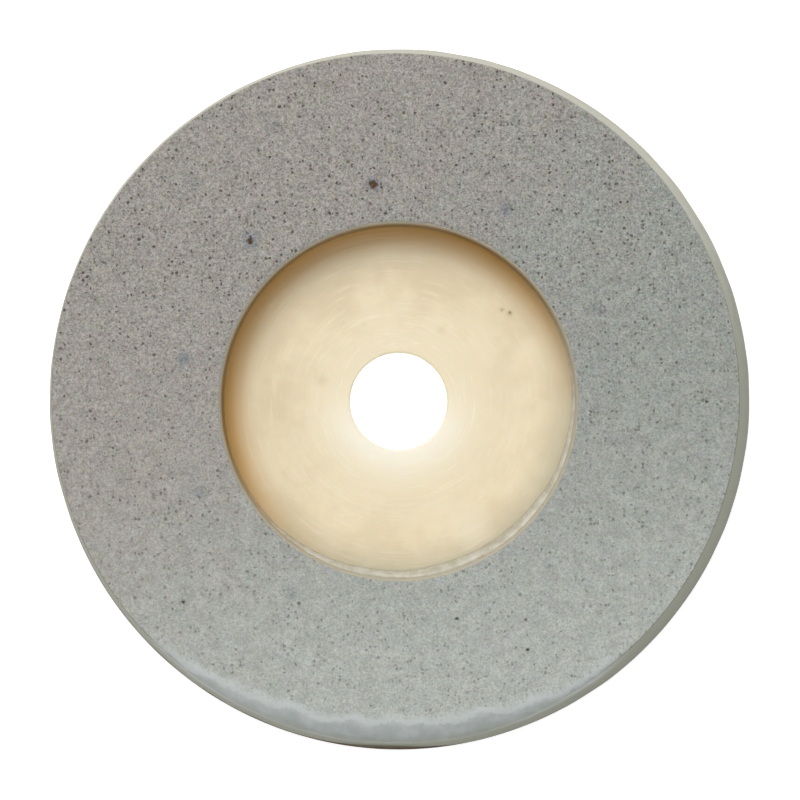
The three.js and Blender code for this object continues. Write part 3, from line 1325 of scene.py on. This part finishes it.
@dataclass
class RetainingScrew:
    """A countersunk screw with a cross recess and a rolled thread, driven in from the plate's back.

    Attributes:
        turn_steps: points round the screw.
        head_land: height of the straight edge of the head, in metres.
        edge_round: how much the head's corners are rounded, in metres.
        pitch: the thread's pitch, in metres.
        thread_depth: the thread's depth, in metres.
        plain_shank: length of the smooth shank under the head, in metres.
        tip_length: length of the pointed end, in metres.
        tip_flat: height that its last, blunt cone takes up, in metres.
        rows_per_pitch: rows of points on each turn of the thread.
        cross_span: length of each arm pair of the cross at the head's face, in metres.
        cross_width: width of the arms, in metres.
        cross_depth: depth of the cross, in metres.
        cross_end_span: span of the arms at the cross's bottom, as a share of cross_span.
        cross_end_width: width of the arms there, as a share of cross_width.
        cross_start: how far outside the head the cut starts, in metres.
        hole_slack: gap between the screw and its hole, in metres.
    """

    turn_steps: int = 24
    head_land: float = 0.3 * MM
    edge_round: float = 0.12 * MM
    pitch: float = 1.3 * MM
    thread_depth: float = 0.42 * MM
    plain_shank: float = 1.0 * MM
    tip_length: float = 2.6 * MM
    tip_flat: float = 0.3 * MM
    rows_per_pitch: int = 8
    cross_span: float = 3.7 * MM
    cross_width: float = 0.85 * MM
    cross_depth: float = 1.5 * MM
    cross_end_span: float = 0.35
    cross_end_width: float = 0.6
    cross_start: float = 0.2 * MM
    hole_slack: float = 0.2 * MM

    def __post_init__(self) -> None:
        """Reads the screws' sizes and places from the frame."""
        self.nodes = sorted(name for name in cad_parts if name.startswith("retaining_screw"))
        first, low, high = self.nodes[0], *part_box(self.nodes[0])
        centre = (low + high) / 2
        points = np.array([v.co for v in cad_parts[first].data.vertices])
        away = np.hypot(points[:, 0] - centre.x, points[:, 1] - centre.y)
        self.bottom, self.top = low.z, high.z
        self.head = float(away.max())
        self.shank = float(away[points[:, 2] > (low.z + high.z) / 2].max())

    def places(self) -> list[tuple[float, float]]:
        """Lists where the screws stand, in metres, in the order of their nodes."""
        middles = [sum(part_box(node), Vector()) / 2 for node in self.nodes]
        return [(middle.x, middle.y) for middle in middles]

    def section(self) -> tuple[np.ndarray, np.ndarray]:
        """Lists the screw's section from the middle of its head to its tip.

        Returns:
            The radii at the crests of the thread, and the levels.
        """
        cone_foot = self.bottom + self.head_land
        cone_top = cone_foot + self.head - self.shank
        rows = self.pitch / self.rows_per_pitch
        thread = rows_between(cone_top + self.plain_shank, self.top - self.tip_length, rows)
        tip = rows_between(self.top - self.tip_length, self.top - self.tip_flat, rows)
        taper = (self.top - tip) / self.tip_length
        radii = [
            [0, self.cross_span * 0.6, self.head - self.edge_round, self.head, self.head],
            [self.head - self.edge_round, self.shank, self.shank],
            np.full(len(thread), self.shank),
            self.shank * np.clip(taper, 0.1, 1) ** 0.8,
            [0],
        ]
        levels = [
            [self.bottom, self.bottom, self.bottom, self.bottom + self.edge_round, cone_foot],
            [cone_foot + self.edge_round, cone_top, cone_top + self.plain_shank / 2],
            thread,
            tip,
            [self.top],
        ]
        return np.concatenate(radii), np.concatenate(levels)

    def cutters(self, deepest: float, highest: float) -> bpy.types.Object:
        """Makes the shape of all the holes, with their countersinks, as one object.

        Args:
            deepest: level below the plate's back where the cut starts, in metres.
            highest: level where the blind end of each hole is, in metres.

        Returns:
            The cutter.
        """
        slack = self.hole_slack
        cone_foot = self.bottom + self.head_land + slack / 2
        radii = [0, self.head + slack, self.head + slack, self.shank + slack, self.shank + slack, 0]
        cone_top = cone_foot + self.head - self.shank
        levels = [deepest, deepest, cone_foot, cone_top, highest - self.shank, highest]
        radius = np.repeat(np.array(radii)[:, None], 2 * self.turn_steps, axis=1)
        return spindle_mesh("screw_holes", radius, np.array(levels), self.places())

    def driver_cross(self) -> list[bpy.types.Object]:
        """Makes the two tapered blades that press the cross into the head.

        Returns:
            The blades, as cutters.
        """
        end_span = self.cross_end_span * self.cross_span
        end_width = self.cross_end_width * self.cross_width
        blades = []
        for along in (0, 1):
            corners = []
            for level, span, width in (
                (self.bottom - self.cross_start, self.cross_span, self.cross_width),
                (self.bottom + self.cross_depth, end_span, end_width),
            ):
                for side_x, side_y in ((-1, -1), (1, -1), (1, 1), (-1, 1)):
                    flat = (side_x * span / 2, side_y * width / 2)
                    corners.append((*(flat if along else (-flat[1], flat[0])), level))
            faces = [(3, 2, 1, 0), (4, 5, 6, 7), (0, 1, 5, 4), (1, 2, 6, 5), (2, 3, 7, 6), (3, 0, 4, 7)]
            mesh = bpy.data.meshes.new("driver_blade")
            mesh.from_pydata(corners, [], faces)
            blades.append(place_in_scene("driver_blade", mesh))
        return blades

    def build(self) -> list[bpy.types.Object]:
        """Builds one screw, and copies it to each place with its own turn.

        Returns:
            The screws, in place.
        """
        radii, levels = self.section()
        turn = full_turn(self.turn_steps)
        radius = np.repeat(radii[:, None], self.turn_steps, axis=1)
        climb = (levels[:, None] / self.pitch - turn[None] / TAU) % 1
        # 0 on the crest of the thread and 1 at its root, with a short flat on each.
        flank = np.clip(3.2 * np.abs(climb - 0.5) - 0.2, 0, 1)
        start = self.bottom + self.head_land + self.head - self.shank + self.plain_shank
        threaded = smooth((levels - start) / self.pitch)[:, None]
        slim = np.minimum(self.thread_depth, 0.35 * radius)
        radius = radius - slim * flank * threaded
        pattern = spindle_mesh("screw_pattern", radius, levels, [(0.0, 0.0)])
        drill(pattern, self.driver_cross())
        draw = np.random.default_rng(17)
        screws = []
        for node, (x, y) in zip(self.nodes, self.places()):
            mesh = pattern.data.copy()
            mesh.transform(Matrix.Rotation(draw.uniform(0, TAU), 4, "Z"))
            mesh.transform(Matrix.Translation((x, y, 0)))
            screw = place_in_scene(f"driven_{node}", mesh)
            fit_to_body(screw, node)
            screws.append(screw)
        bpy.data.meshes.remove(pattern.data)
        return screws

    def dress(self, screws: list[bpy.types.Object]) -> None:
        """Gives the screws their plated, slightly rusted steel."""
        steel = PlatedSteel("plated_steel", head_level=self.bottom / MM).make()
        for screw in screws:
            paint(screw, steel)


@dataclass
class BackingPlate:
    """The turned plastic disc that carries the ring.

    Attributes:
        turn_steps: points round the axis.
        row_step: spacing of the rows on its front, in metres.
        trim: how much smaller its rim is than the CAD's, in metres.
        edge_round: radius of its rounded edges, in metres.
        groove_depth: depth of the ordinary turning marks, in metres.
        groove_pitch: their spacing, in metres.
        tool_rings: radii of the deeper rings, in metres.
        tool_ring_depth: their depth, in metres.
        tool_ring_width: half their width, in metres.
        size: the CAD node's sizes.
    """

    turn_steps: int = 400
    row_step: float = 0.42 * MM
    trim: float = 0.3 * MM
    edge_round: float = 0.4 * MM
    groove_depth: float = 0.012 * MM
    groove_pitch: float = 1.7 * MM
    tool_rings: tuple[float, ...] = (16.0 * MM, 20.2 * MM, 23.2 * MM, 24.9 * MM)
    tool_ring_depth: float = 0.05 * MM
    tool_ring_width: float = 0.35 * MM
    size: TurnedSize = field(default_factory=lambda: TurnedSize.of("backing_plate"))

    def section(self) -> tuple[np.ndarray, np.ndarray]:
        """Lists the plate's section, anticlockwise from the foot of the bore.

        Returns:
            The radii and the levels of the rows.
        """
        s, e = self.size, self.edge_round
        rim = s.outer - self.trim
        quarter = np.linspace(0, math.pi / 2, 4)
        back = rows_between(s.inner + e, rim - e, 4 * self.row_step)
        side = rows_between(s.bottom + e, s.top - e, self.row_step)
        front = rows_between(rim - e, s.inner + e, self.row_step)
        radii = [
            back,
            rim - e + e * np.sin(quarter),
            np.full(len(side) - 1, rim),
            rim - e + e * np.cos(quarter),
            front[1:],
            s.inner + e - e * np.sin(quarter),
            np.full(len(side) - 1, s.inner),
            s.inner + e - e * np.cos(quarter[:-1]),
        ]
        levels = [
            np.full(len(back), s.bottom),
            s.bottom + e - e * np.cos(quarter),
            side[1:],
            s.top - e + e * np.sin(quarter),
            np.full(len(front) - 1, s.top),
            s.top - e + e * np.cos(quarter),
            side[:0:-1],
            s.bottom + e - e * np.sin(quarter[:-1]),
        ]
        return np.concatenate(radii), np.concatenate(levels)

    def build(self, holes: bpy.types.Object) -> bpy.types.Object:
        """Builds the plate with its turned front and its countersunk holes.

        Args:
            holes: the cutter of the screws' holes.

        Returns:
            The plate, in place.
        """
        radii, levels = self.section()
        turn = full_turn(self.turn_steps)
        radius = np.repeat(radii[:, None], self.turn_steps, axis=1)
        level = np.repeat(levels[:, None], self.turn_steps, axis=1)
        around = np.repeat(turn[None], len(radii), axis=0)
        front = (levels > self.size.top - LEVEL_TOLERANCE)[:, None]
        cut = self.groove_depth * (0.5 + 0.5 * np.sin(TAU * radius / self.groove_pitch))
        for number, ring in enumerate(self.tool_rings):
            fade = 0.6 + 0.4 * Waver(40 + number, 1, 4).at(around)
            cut += self.tool_ring_depth * fade * np.exp(-(((radius - ring) / self.tool_ring_width) ** 2))
        level = level - np.where(front, cut, 0)
        piece = ring_mesh("turned_backing_plate", radius * np.cos(around), radius * np.sin(around), level)
        drill(piece, [holes])
        fit_to_body(piece, "backing_plate")
        return piece

    def dress(self, piece: bpy.types.Object, recess: float) -> None:
        """Gives the plate its plastic.

        Args:
            piece: the plate.
            recess: radius of the recess's wall, in metres.
        """
        smudge = (0.35, 0.24, 0.12)
        marks = (
            Mark(38.5, 30.3, 0.36, 1.1, (0.33, 0.25, 0.13), smudge, 0.3),
            Mark(41.5, 29.5, 0.25, 0.8, (0.36, 0.27, 0.15), smudge, 0.3),
            Mark(165.0, 17.0, 0.0, 2.2, smudge, (0.6, 0.46, 0.28), 0.3),
            Mark(59.0, 17.6, 0.0, 1.6, smudge, (0.6, 0.47, 0.3), 0.25),
            # The last three are pale halos: patches of painted sheen of the lamps on the glossy floor.
            Mark(-60.0, 31.0, 0.0, 6.5, smudge, (0.88, 0.8, 0.64), 0.45),
            Mark(-8.0, 21.0, 0.0, 3.0, smudge, (0.87, 0.78, 0.58), 0.3),
            Mark(22.0, 30.0, 0.0, 5.0, smudge, (0.85, 0.76, 0.56), 0.3),
        )
        finish = TurnedPlastic(
            "turned_ivory_plastic",
            floor_level=self.size.top / MM,
            recess_radius=recess / MM,
            rim_radius=self.size.outer / MM,
            bore_radius=self.size.inner / MM,
            marks=marks,
        )
        paint(piece, finish.make())


@dataclass(frozen=True)
class TipShadow:
    """How one screw's tip shows through the thin resin over it.

    Attributes:
        rust: radius of the rusty core, in millimetres; 0 if no rust has come through.
        halo: radius of the grey halo, in millimetres.
        strength: how much of the halo's colour shows.
    """

    rust: float
    halo: float
    strength: float


# One for each screw, in the order of the screws' nodes.
TIP_SHADOWS = (
    TipShadow(0.0, 2.3, 0.5),
    TipShadow(0.0, 2.5, 0.85),
    TipShadow(1.15, 2.2, 0.85),
    TipShadow(0.8, 3.0, 0.7),
    TipShadow(0.0, 2.7, 0.8),
    TipShadow(0.0, 2.5, 0.65),
    TipShadow(0.0, 2.4, 0.45),
    TipShadow(0.0, 1.8, 0.2),
    TipShadow(0.0, 2.0, 0.25),
    TipShadow(0.0, 2.0, 0.2),
)


@dataclass
class AbrasiveRing:
    """The cast ring of resin and diamond grit.

    The recess is cast on the bore's axis, and the face's outer edge and the foot a little off it.

    Attributes:
        turn_steps: points round the axis.
        row_step: spacing of the rows on the face, in metres.
        edge_step: spacing of the rows near its outer edge, in metres.
        fine_band: width of the face that has the closer rows, in metres.
        fine_rim: height of the rim that has them, in metres.
        rim_rows: rows on the lower rim.
        wall_rows: rows on the recess's wall.
        seat: level of the glue that the ring stands on, in metres.
        foot_trim: how much smaller its foot is than the CAD's, in metres.
        foot_shift: how far the foot's circle lies off the axis, in metres.
        edge_reach: how far the corner of face and rim lies past the CAD's flat face, in metres.
        edge_shift: how far the face's outer circle lies off the axis, in metres.
        edge_round: radius of the outer edge where it isn't worn, in metres.
        wear_heading: angle of the middle of the worn stretch, in radians.
        wear_half_turn: half the angle that the worn stretch takes up, in radians.
        wear_width: how far the wear reaches in from the edge, in metres.
        wear_drop: how far it reaches down the rim, in metres.
        wear_slope: how steep it has become where it meets the rim, in radians.
        foot_dent: depth of the flat knocked into the foot below it, in metres.
        dent_half_turn: half the angle that the flat takes up, in radians.
        swell: height of the face's unevenness, in metres.
        scuff: depth of the rim's unevenness, in metres.
        lip_band: how far to either side of the recess's edge its rows are close, in metres.
        lip_step: spacing of those rows, in metres.
        lip_round: how much the recess's edge is rounded, in metres.
        chip_reach: how far a chip reaches to either side of that edge, in metres.
        chips: how many chips it has.
        size: the CAD node's sizes.
    """

    turn_steps: int = 840
    row_step: float = 0.62 * MM
    edge_step: float = 0.34 * MM
    fine_band: float = 7.0 * MM
    fine_rim: float = 6.0 * MM
    rim_rows: int = 10
    wall_rows: int = 12
    seat: float = 4.4 * MM
    foot_trim: float = 0.5 * MM
    foot_shift: tuple[float, float] = (0.2 * MM, 0.48 * MM)
    edge_reach: float = 0.26 * MM
    edge_shift: tuple[float, float] = (-0.63 * MM, 0.9 * MM)
    edge_round: float = 0.25 * MM
    wear_heading: float = math.radians(-92)
    wear_half_turn: float = math.radians(49)
    wear_width: float = 4.6 * MM
    wear_drop: float = 3.2 * MM
    wear_slope: float = math.radians(72)
    foot_dent: float = 0.6 * MM
    dent_half_turn: float = math.radians(13)
    swell: float = 0.015 * MM
    scuff: float = 0.04 * MM
    lip_band: float = 0.6 * MM
    lip_step: float = 0.15 * MM
    lip_round: float = 0.22 * MM
    chip_reach: float = 0.7 * MM
    chips: int = 160
    size: TurnedSize = field(default_factory=lambda: TurnedSize.of("abrasive_ring"))

    def edge_radius(self) -> float:
        """Radius of the circle that the face and rim meet in, in metres."""
        return self.size.top_outer + self.edge_reach

    def face_width(self) -> float:
        """Width of the face between its two sharp corners, in metres."""
        return self.edge_radius() - self.size.inner

    def rows(self) -> np.ndarray:
        """Lists the rows by the distance travelled from the recess's top edge, outward and down.

        Returns:
            The distances: negative on the recess's wall, then over the face, then down the rim.
        """
        face = self.face_width()
        rim = self.size.top - self.seat
        wall = -rows_between(rim, self.lip_band, rim / self.wall_rows)
        lip = rows_between(-self.lip_band, self.lip_band, self.lip_step)
        open_face = rows_between(self.lip_band, face - self.fine_band, self.row_step)
        edge = rows_between(face - self.fine_band, face + self.fine_rim, self.edge_step)
        low_rim = np.linspace(face + self.fine_rim, face + rim, self.rim_rows)
        return np.concatenate([wall, lip, open_face, edge, low_rim])

    def rim_radius(self, drop: np.ndarray) -> np.ndarray:
        """Radius of the sloping rim at each distance below the face, in metres."""
        foot = self.size.outer - self.foot_trim
        share = np.clip(drop / (self.size.top - self.seat), 0, 1)
        return self.edge_radius() + (foot - self.edge_radius()) * share

    def wear(self, around: np.ndarray) -> np.ndarray:
        """Share of the full wear at each angle, from 0 to 1, with an uneven edge."""
        wander = 1 + 0.12 * Waver(7, 9, 40).at(around)
        return np.clip(hump(around, self.wear_heading, self.wear_half_turn) ** 0.7 * wander, 0, 1)

    def chip_depth(self, around: np.ndarray) -> np.ndarray:
        """Works out the depth of the small chips of the recess's edge.

        Args:
            around: angles, in radians.

        Returns:
            The depth at each angle, in metres.
        """
        draw = np.random.default_rng(23)
        depth = np.zeros_like(around)
        for _ in range(self.chips):
            heading = draw.uniform(0, TAU) if draw.random() < 0.5 else draw.normal(0.95, 0.3)
            width = draw.uniform(0.2, 0.75) * MM / self.size.inner
            size = draw.uniform(0.05, 0.34) * MM
            depth = np.maximum(depth, size * hump(around, heading, width))
        return depth

    def off_axis(self, way: np.ndarray) -> tuple[np.ndarray, np.ndarray]:
        """Gives how far the ring's circles lie off the axis at each distance along its section.

        Args:
            way: distance from the recess's top edge, in metres.

        Returns:
            The shifts along X and Y, in metres.
        """
        face = self.face_width()
        over = np.clip(way / face, 0, 1)
        down = np.clip((way - face) / (self.size.top - self.seat), 0, 1)
        shifts = [
            over * edge + down * (foot - edge)
            for edge, foot in zip(self.edge_shift, self.foot_shift)
        ]
        return shifts[0], shifts[1]

    def build(self, holes: bpy.types.Object) -> bpy.types.Object:
        """Builds the ring with its worn stretch, chips and screw holes.

        Args:
            holes: the cutter of the screws' holes.

        Returns:
            The ring, in place, with the measures that its finish reads.
        """
        s = self.size
        turn = full_turn(self.turn_steps)
        way, around = np.meshgrid(self.rows(), turn, indexing="ij")
        face = self.face_width()
        share = self.wear(around)
        width = self.edge_round + self.wear_width * share
        drop = self.edge_round + self.wear_drop * share

        fallen = np.clip(way - face, 0, None)
        radius = np.where(way > face, self.rim_radius(fallen), s.inner + np.clip(way, 0, face))
        level = np.where(way < 0, s.top + way, s.top - fallen)

        start = face - width
        along = np.clip((way - start) / (width + drop), 0, 1) * self.wear_slope
        rounded = (way > start) & (way < face + drop)
        lower = self.rim_radius(drop)
        reach = (lower - s.inner - start) / math.sin(self.wear_slope)
        arc_radius = s.inner + start + reach * np.sin(along)
        arc_level = s.top - drop * (1 - np.cos(along)) / (1 - math.cos(self.wear_slope))
        radius = np.where(rounded, arc_radius, radius)
        level = np.where(rounded, arc_level, level)

        radius, level = self.round_lip(way, around, radius, level)
        flat_share = smooth((way - 1.0 * MM) / (2 * MM)) * smooth((start - way) / (1 * MM))
        uneven = 1 + Swell(5, 3 * MM, 14 * MM).at(radius * np.cos(around), radius * np.sin(around))
        uneven = np.clip(uneven, 0, None)
        level = level - self.swell * flat_share * uneven
        down = smooth((way - face) / (s.top - self.seat))
        dent = self.foot_dent * hump(around, self.wear_heading, self.dent_half_turn) * down
        scuff = self.scuff * (1 + Waver(31, 5, 60).at(around)) * smooth((way - face) / (1 * MM))
        radius = radius - dent - scuff
        shift_x, shift_y = self.off_axis(way)
        x = radius * np.cos(around) + shift_x
        y = radius * np.sin(around) + shift_y

        piece = ring_mesh("cast_abrasive_ring", x[::-1], y[::-1], level[::-1])
        add_measure(piece, "past_edge", (np.maximum(way - face, -way) / MM)[::-1])
        add_measure(piece, "down_wall", (-way / MM)[::-1])
        add_measure(piece, "into_wear", ((way - start) / MM)[::-1])
        add_measure(piece, "wear_share", smooth(share * 3)[::-1])
        drill(piece, [holes])
        fit_to_body(piece, "abrasive_ring")
        return piece

    def round_lip(
        self, way: np.ndarray, around: np.ndarray, radius: np.ndarray, level: np.ndarray
    ) -> tuple[np.ndarray, np.ndarray]:
        """Rounds and chips the recess's top edge.

        Args:
            way: distance of each point from the edge along the section, in metres.
            around: angle of each point.
            radius: radius of each point before.
            level: level of each point before.

        Returns:
            The radii and levels after.
        """
        near = np.clip(1 - np.abs(way) / (2 * self.lip_round), 0, 1)
        bevel = self.lip_round * near**2 * 0.8
        chip = self.chip_depth(around) * np.clip(1 - np.abs(way) / self.chip_reach, 0, 1)
        lost = (bevel + chip) * 0.7
        return radius + lost, level - lost

    def dress(self, piece: bpy.types.Object, screws: list[tuple[float, float]]) -> None:
        """Gives the ring its grit, skin and wear, with the screws' tips showing faintly.

        Args:
            piece: the ring.
            screws: where the screws stand, in metres.
        """
        rust = (0.085, 0.038, 0.02)
        slate = (0.21, 0.225, 0.25)
        pit = (0.05, 0.045, 0.035)
        marks = []
        for (x, y), tip in zip(screws, TIP_SHADOWS):
            heading, radius = math.degrees(math.atan2(y, x)), math.hypot(x, y) / MM
            marks.append(Mark(heading, radius, tip.rust, tip.halo, rust, slate, tip.strength))
        marks += [
            Mark(115.0, 64.5, 0.0, 2.2, rust, slate, 0.35),
            Mark(133.0, 63.0, 0.0, 3.0, rust, slate, 0.3),
            Mark(223.0, 61.5, 0.45, 0.8, pit, pit, 0.3),
            Mark(-75.0, 47.0, 0.4, 0.7, pit, pit, 0.3),
            Mark(-62.5, 58.5, 0.4, 0.7, pit, pit, 0.3),
            Mark(112.0, 66.5, 0.4, 0.8, pit, pit, 0.3),
            Mark(0.0, 64.5, 0.35, 0.7, pit, pit, 0.3),
        ]
        finish = BondedAbrasive(
            "bonded_abrasive",
            specular=0.3,
            face_level=self.size.top / MM,
            foot_level=self.size.bottom / MM,
            marks=tuple(marks),
        )
        paint(piece, finish.make())


@dataclass
class GlueLayer:
    """The glue between the plate and the ring, seen only as a thin uneven line under the rim.

    Attributes:
        turn_steps: points round the axis.
        overlap: how far it reaches into its neighbours, in metres.
        setback: how far its outer edge stays inside the CAD's, in metres.
        waver: how far that edge wanders, in metres.
        bulge: how far the middle of that edge stands out, in metres.
        size: the CAD node's sizes.
    """

    turn_steps: int = 480
    overlap: float = 0.05 * MM
    setback: float = 1.0 * MM
    waver: float = 0.12 * MM
    bulge: float = 0.12 * MM
    size: TurnedSize = field(default_factory=lambda: TurnedSize.of("glue_layer"))

    def build(self, bottom: float, top: float, holes: bpy.types.Object) -> bpy.types.Object:
        """Builds the layer.

        Args:
            bottom: level of the plate's front, in metres.
            top: level of the ring's foot, in metres.
            holes: the cutter of the screws' holes.

        Returns:
            The layer, in place.
        """
        turn = full_turn(self.turn_steps)
        edge = self.size.outer - self.setback - self.waver * (1 + Waver(3, 3, 50).at(turn)) / 2
        inner = np.full_like(turn, self.size.inner)
        radius = np.stack([inner, edge - self.bulge, edge, edge - self.bulge, inner])
        low, high = bottom - self.overlap, top + self.overlap
        levels = [low, low, (bottom + top) / 2, high, high]
        level = np.repeat(np.array(levels)[:, None], self.turn_steps, axis=1)
        piece = ring_mesh("glue_line", radius * np.cos(turn), radius * np.sin(turn), level)
        drill(piece, [holes])
        fit_to_body(piece, "glue_layer")
        return piece


@dataclass
class GlueBead:
    """The uneven bead of squeezed-out glue in the corner of the recess.

    Attributes:
        turn_steps: points round the axis.
        section_steps: points along its rounded front.
        heavy_heading: angle of the middle of the heavy stretch, in radians.
        heavy_half_turn: half the angle of that stretch, in radians.
        thin: width of the bead where it is thin, in metres.
        heavy: width added where it is heavy, in metres.
        lumpiness: share by which its width and height wander.
        into_wall: how far it reaches into the ring, in metres.
        into_floor: how far it reaches into the plate, in metres.
        size: the CAD node's sizes.
    """

    turn_steps: int = 720
    section_steps: int = 12
    heavy_heading: float = math.radians(-68)
    heavy_half_turn: float = math.radians(88)
    thin: float = 0.35 * MM
    heavy: float = 1.45 * MM
    lumpiness: float = 0.09
    into_wall: float = 0.06 * MM
    into_floor: float = 0.05 * MM
    size: TurnedSize = field(default_factory=lambda: TurnedSize.of("glue_bead"))

    def build(self, wall: float, floor: float) -> bpy.types.Object:
        """Builds the bead against the ring's wall.

        Args:
            wall: radius of the recess's wall, in metres.
            floor: level of the plate's front, in metres.

        Returns:
            The bead, in place.
        """
        turn = full_turn(self.turn_steps)
        heavy = hump(turn, self.heavy_heading, self.heavy_half_turn) ** 0.8
        lumps = 1 + self.lumpiness * (Waver(11, 4, 18).at(turn) + 0.2 * Waver(12, 30, 70).at(turn))
        width = (self.thin + self.heavy * heavy) * lumps
        height = width * (1.1 + 0.25 * Waver(13, 3, 14).at(turn))
        back = wall + self.into_wall
        low = floor - self.into_floor
        angle = np.linspace(0, math.pi / 2, self.section_steps)[::-1, None]
        radius = np.vstack([np.full((1, len(turn)), back), back - width * np.cos(angle)])
        level = np.vstack([np.full((1, len(turn)), low), low + height * np.sin(angle)])
        piece = ring_mesh("squeezed_glue_bead", radius * np.cos(turn), radius * np.sin(turn), level)
        fit_to_body(piece, "glue_bead")
        return piece


@dataclass
class Studio:
    """The table, the lights and the camera.

    Attributes:
        distance: how far the camera is above the table, in metres.
        view_width: width of the table that the picture shows, in metres.
        aim: the point of the table that the camera is above, in metres.
        sky_strength: how bright the sky is.
        table_half: half the table's side, in metres.
        table_gap: how far the table lies under the wheel, in metres.
        table_glow: how much light the table gives off, so that it stays white.
    """

    distance: float = 0.65
    view_width: float = 171.45 * MM
    aim: tuple[float, float] = (0.3 * MM, 0.3 * MM)
    sky_strength: float = 0.28
    table_half: float = 2.0
    table_gap: float = 0.02 * MM
    table_glow: float = 0.58

    def camera(self) -> None:
        """Sets the camera straight above the wheel, with +Y up in its picture."""
        data = bpy.data.cameras.new("camera")
        data.lens = data.sensor_width * self.distance / self.view_width
        data.clip_start = 0.01
        made = place_in_scene("camera", data)
        made.location = (*self.aim, self.distance)
        bpy.context.scene.camera = made

    def lamp(self, name: str, place: Vector, across: float, power: float, tint: Colour) -> None:
        """Hangs a square soft lamp that points at the wheel.

        Args:
            name: the lamp's name.
            place: where it hangs, in metres.
            across: its side, in metres.
            power: its power, in watts.
            tint: its colour.
        """
        data = bpy.data.lights.new(name, "AREA")
        data.size = across
        data.energy = power
        data.color = tint
        made = place_in_scene(name, data)
        made.location = place
        made.rotation_euler = (-place).to_track_quat("-Z", "Y").to_euler()

    def lamps(self) -> None:
        """Hangs the key lamp beyond the wheel and a soft lamp overhead, under a pale sky."""
        self.lamp("key_lamp", Vector((-0.165, 0.46, 0.78)), 0.5, 4.8, (1.0, 0.97, 0.93))
        self.lamp("top_lamp", Vector((0.05, -0.1, 0.9)), 0.45, 2.3, (0.94, 0.98, 1.0))
        world = bpy.data.worlds.new("studio_sky")
        world.use_nodes = True
        sky = world.node_tree.nodes["Background"]
        sky.inputs["Color"].default_value = (0.96, 0.98, 1.0, 1.0)
        sky.inputs["Strength"].default_value = self.sky_strength
        bpy.context.scene.world = world
        bpy.context.scene.view_settings.view_transform = "Standard"

    def table(self) -> None:
        """Lays the pale table just under the wheel."""
        half = self.table_half
        sides = ((-half, -half), (half, -half), (half, half), (-half, half))
        corners = [(x, y, -self.table_gap) for x, y in sides]
        mesh = bpy.data.meshes.new("pale_table")
        mesh.from_pydata(corners, [], [(0, 1, 2, 3)])
        made = place_in_scene("pale_table", mesh)
        white = bpy.data.materials.new("table_paint")
        white.use_nodes = True
        shader = white.node_tree.nodes["Principled BSDF"]
        shader.inputs["Base Color"].default_value = (0.95, 0.95, 0.95, 1.0)
        shader.inputs["Roughness"].default_value = 0.8
        shader.inputs["Emission Color"].default_value = (1.0, 1.0, 1.0, 1.0)
        shader.inputs["Emission Strength"].default_value = self.table_glow
        paint(made, white)


def report(piece: bpy.types.Object) -> None:
    """Logs a finished piece."""
    LOG.info("%s: %d vertices", piece.name, len(piece.data.vertices))


def main() -> None:
    """Builds the wheel piece by piece, then the studio round it."""
    logging.basicConfig(level=logging.INFO, format="%(name)s: %(message)s")
    screws = RetainingScrew()
    plate = BackingPlate()
    ring = AbrasiveRing()
    glue = ClearGlue("hard_clear_glue").make()
    below = plate.size.bottom - 1 * MM
    blind_end = screws.top + screws.hole_slack

    plate_piece = plate.build(screws.cutters(below, blind_end))
    plate.dress(plate_piece, ring.size.inner)
    report(plate_piece)

    ring_piece = ring.build(screws.cutters(below, blind_end))
    ring.dress(ring_piece, screws.places())
    report(ring_piece)

    line_piece = GlueLayer().build(plate.size.top, ring.seat, screws.cutters(below, blind_end))
    paint(line_piece, glue)
    report(line_piece)

    bead_piece = GlueBead().build(ring.size.inner, plate.size.top)
    paint(bead_piece, glue)
    report(bead_piece)

    screw_pieces = screws.build()
    screws.dress(screw_pieces)
    for screw in screw_pieces:
        report(screw)

    studio = Studio()
    studio.camera()
    studio.lamps()
    studio.table()


if __name__ == "__main__":
    main()
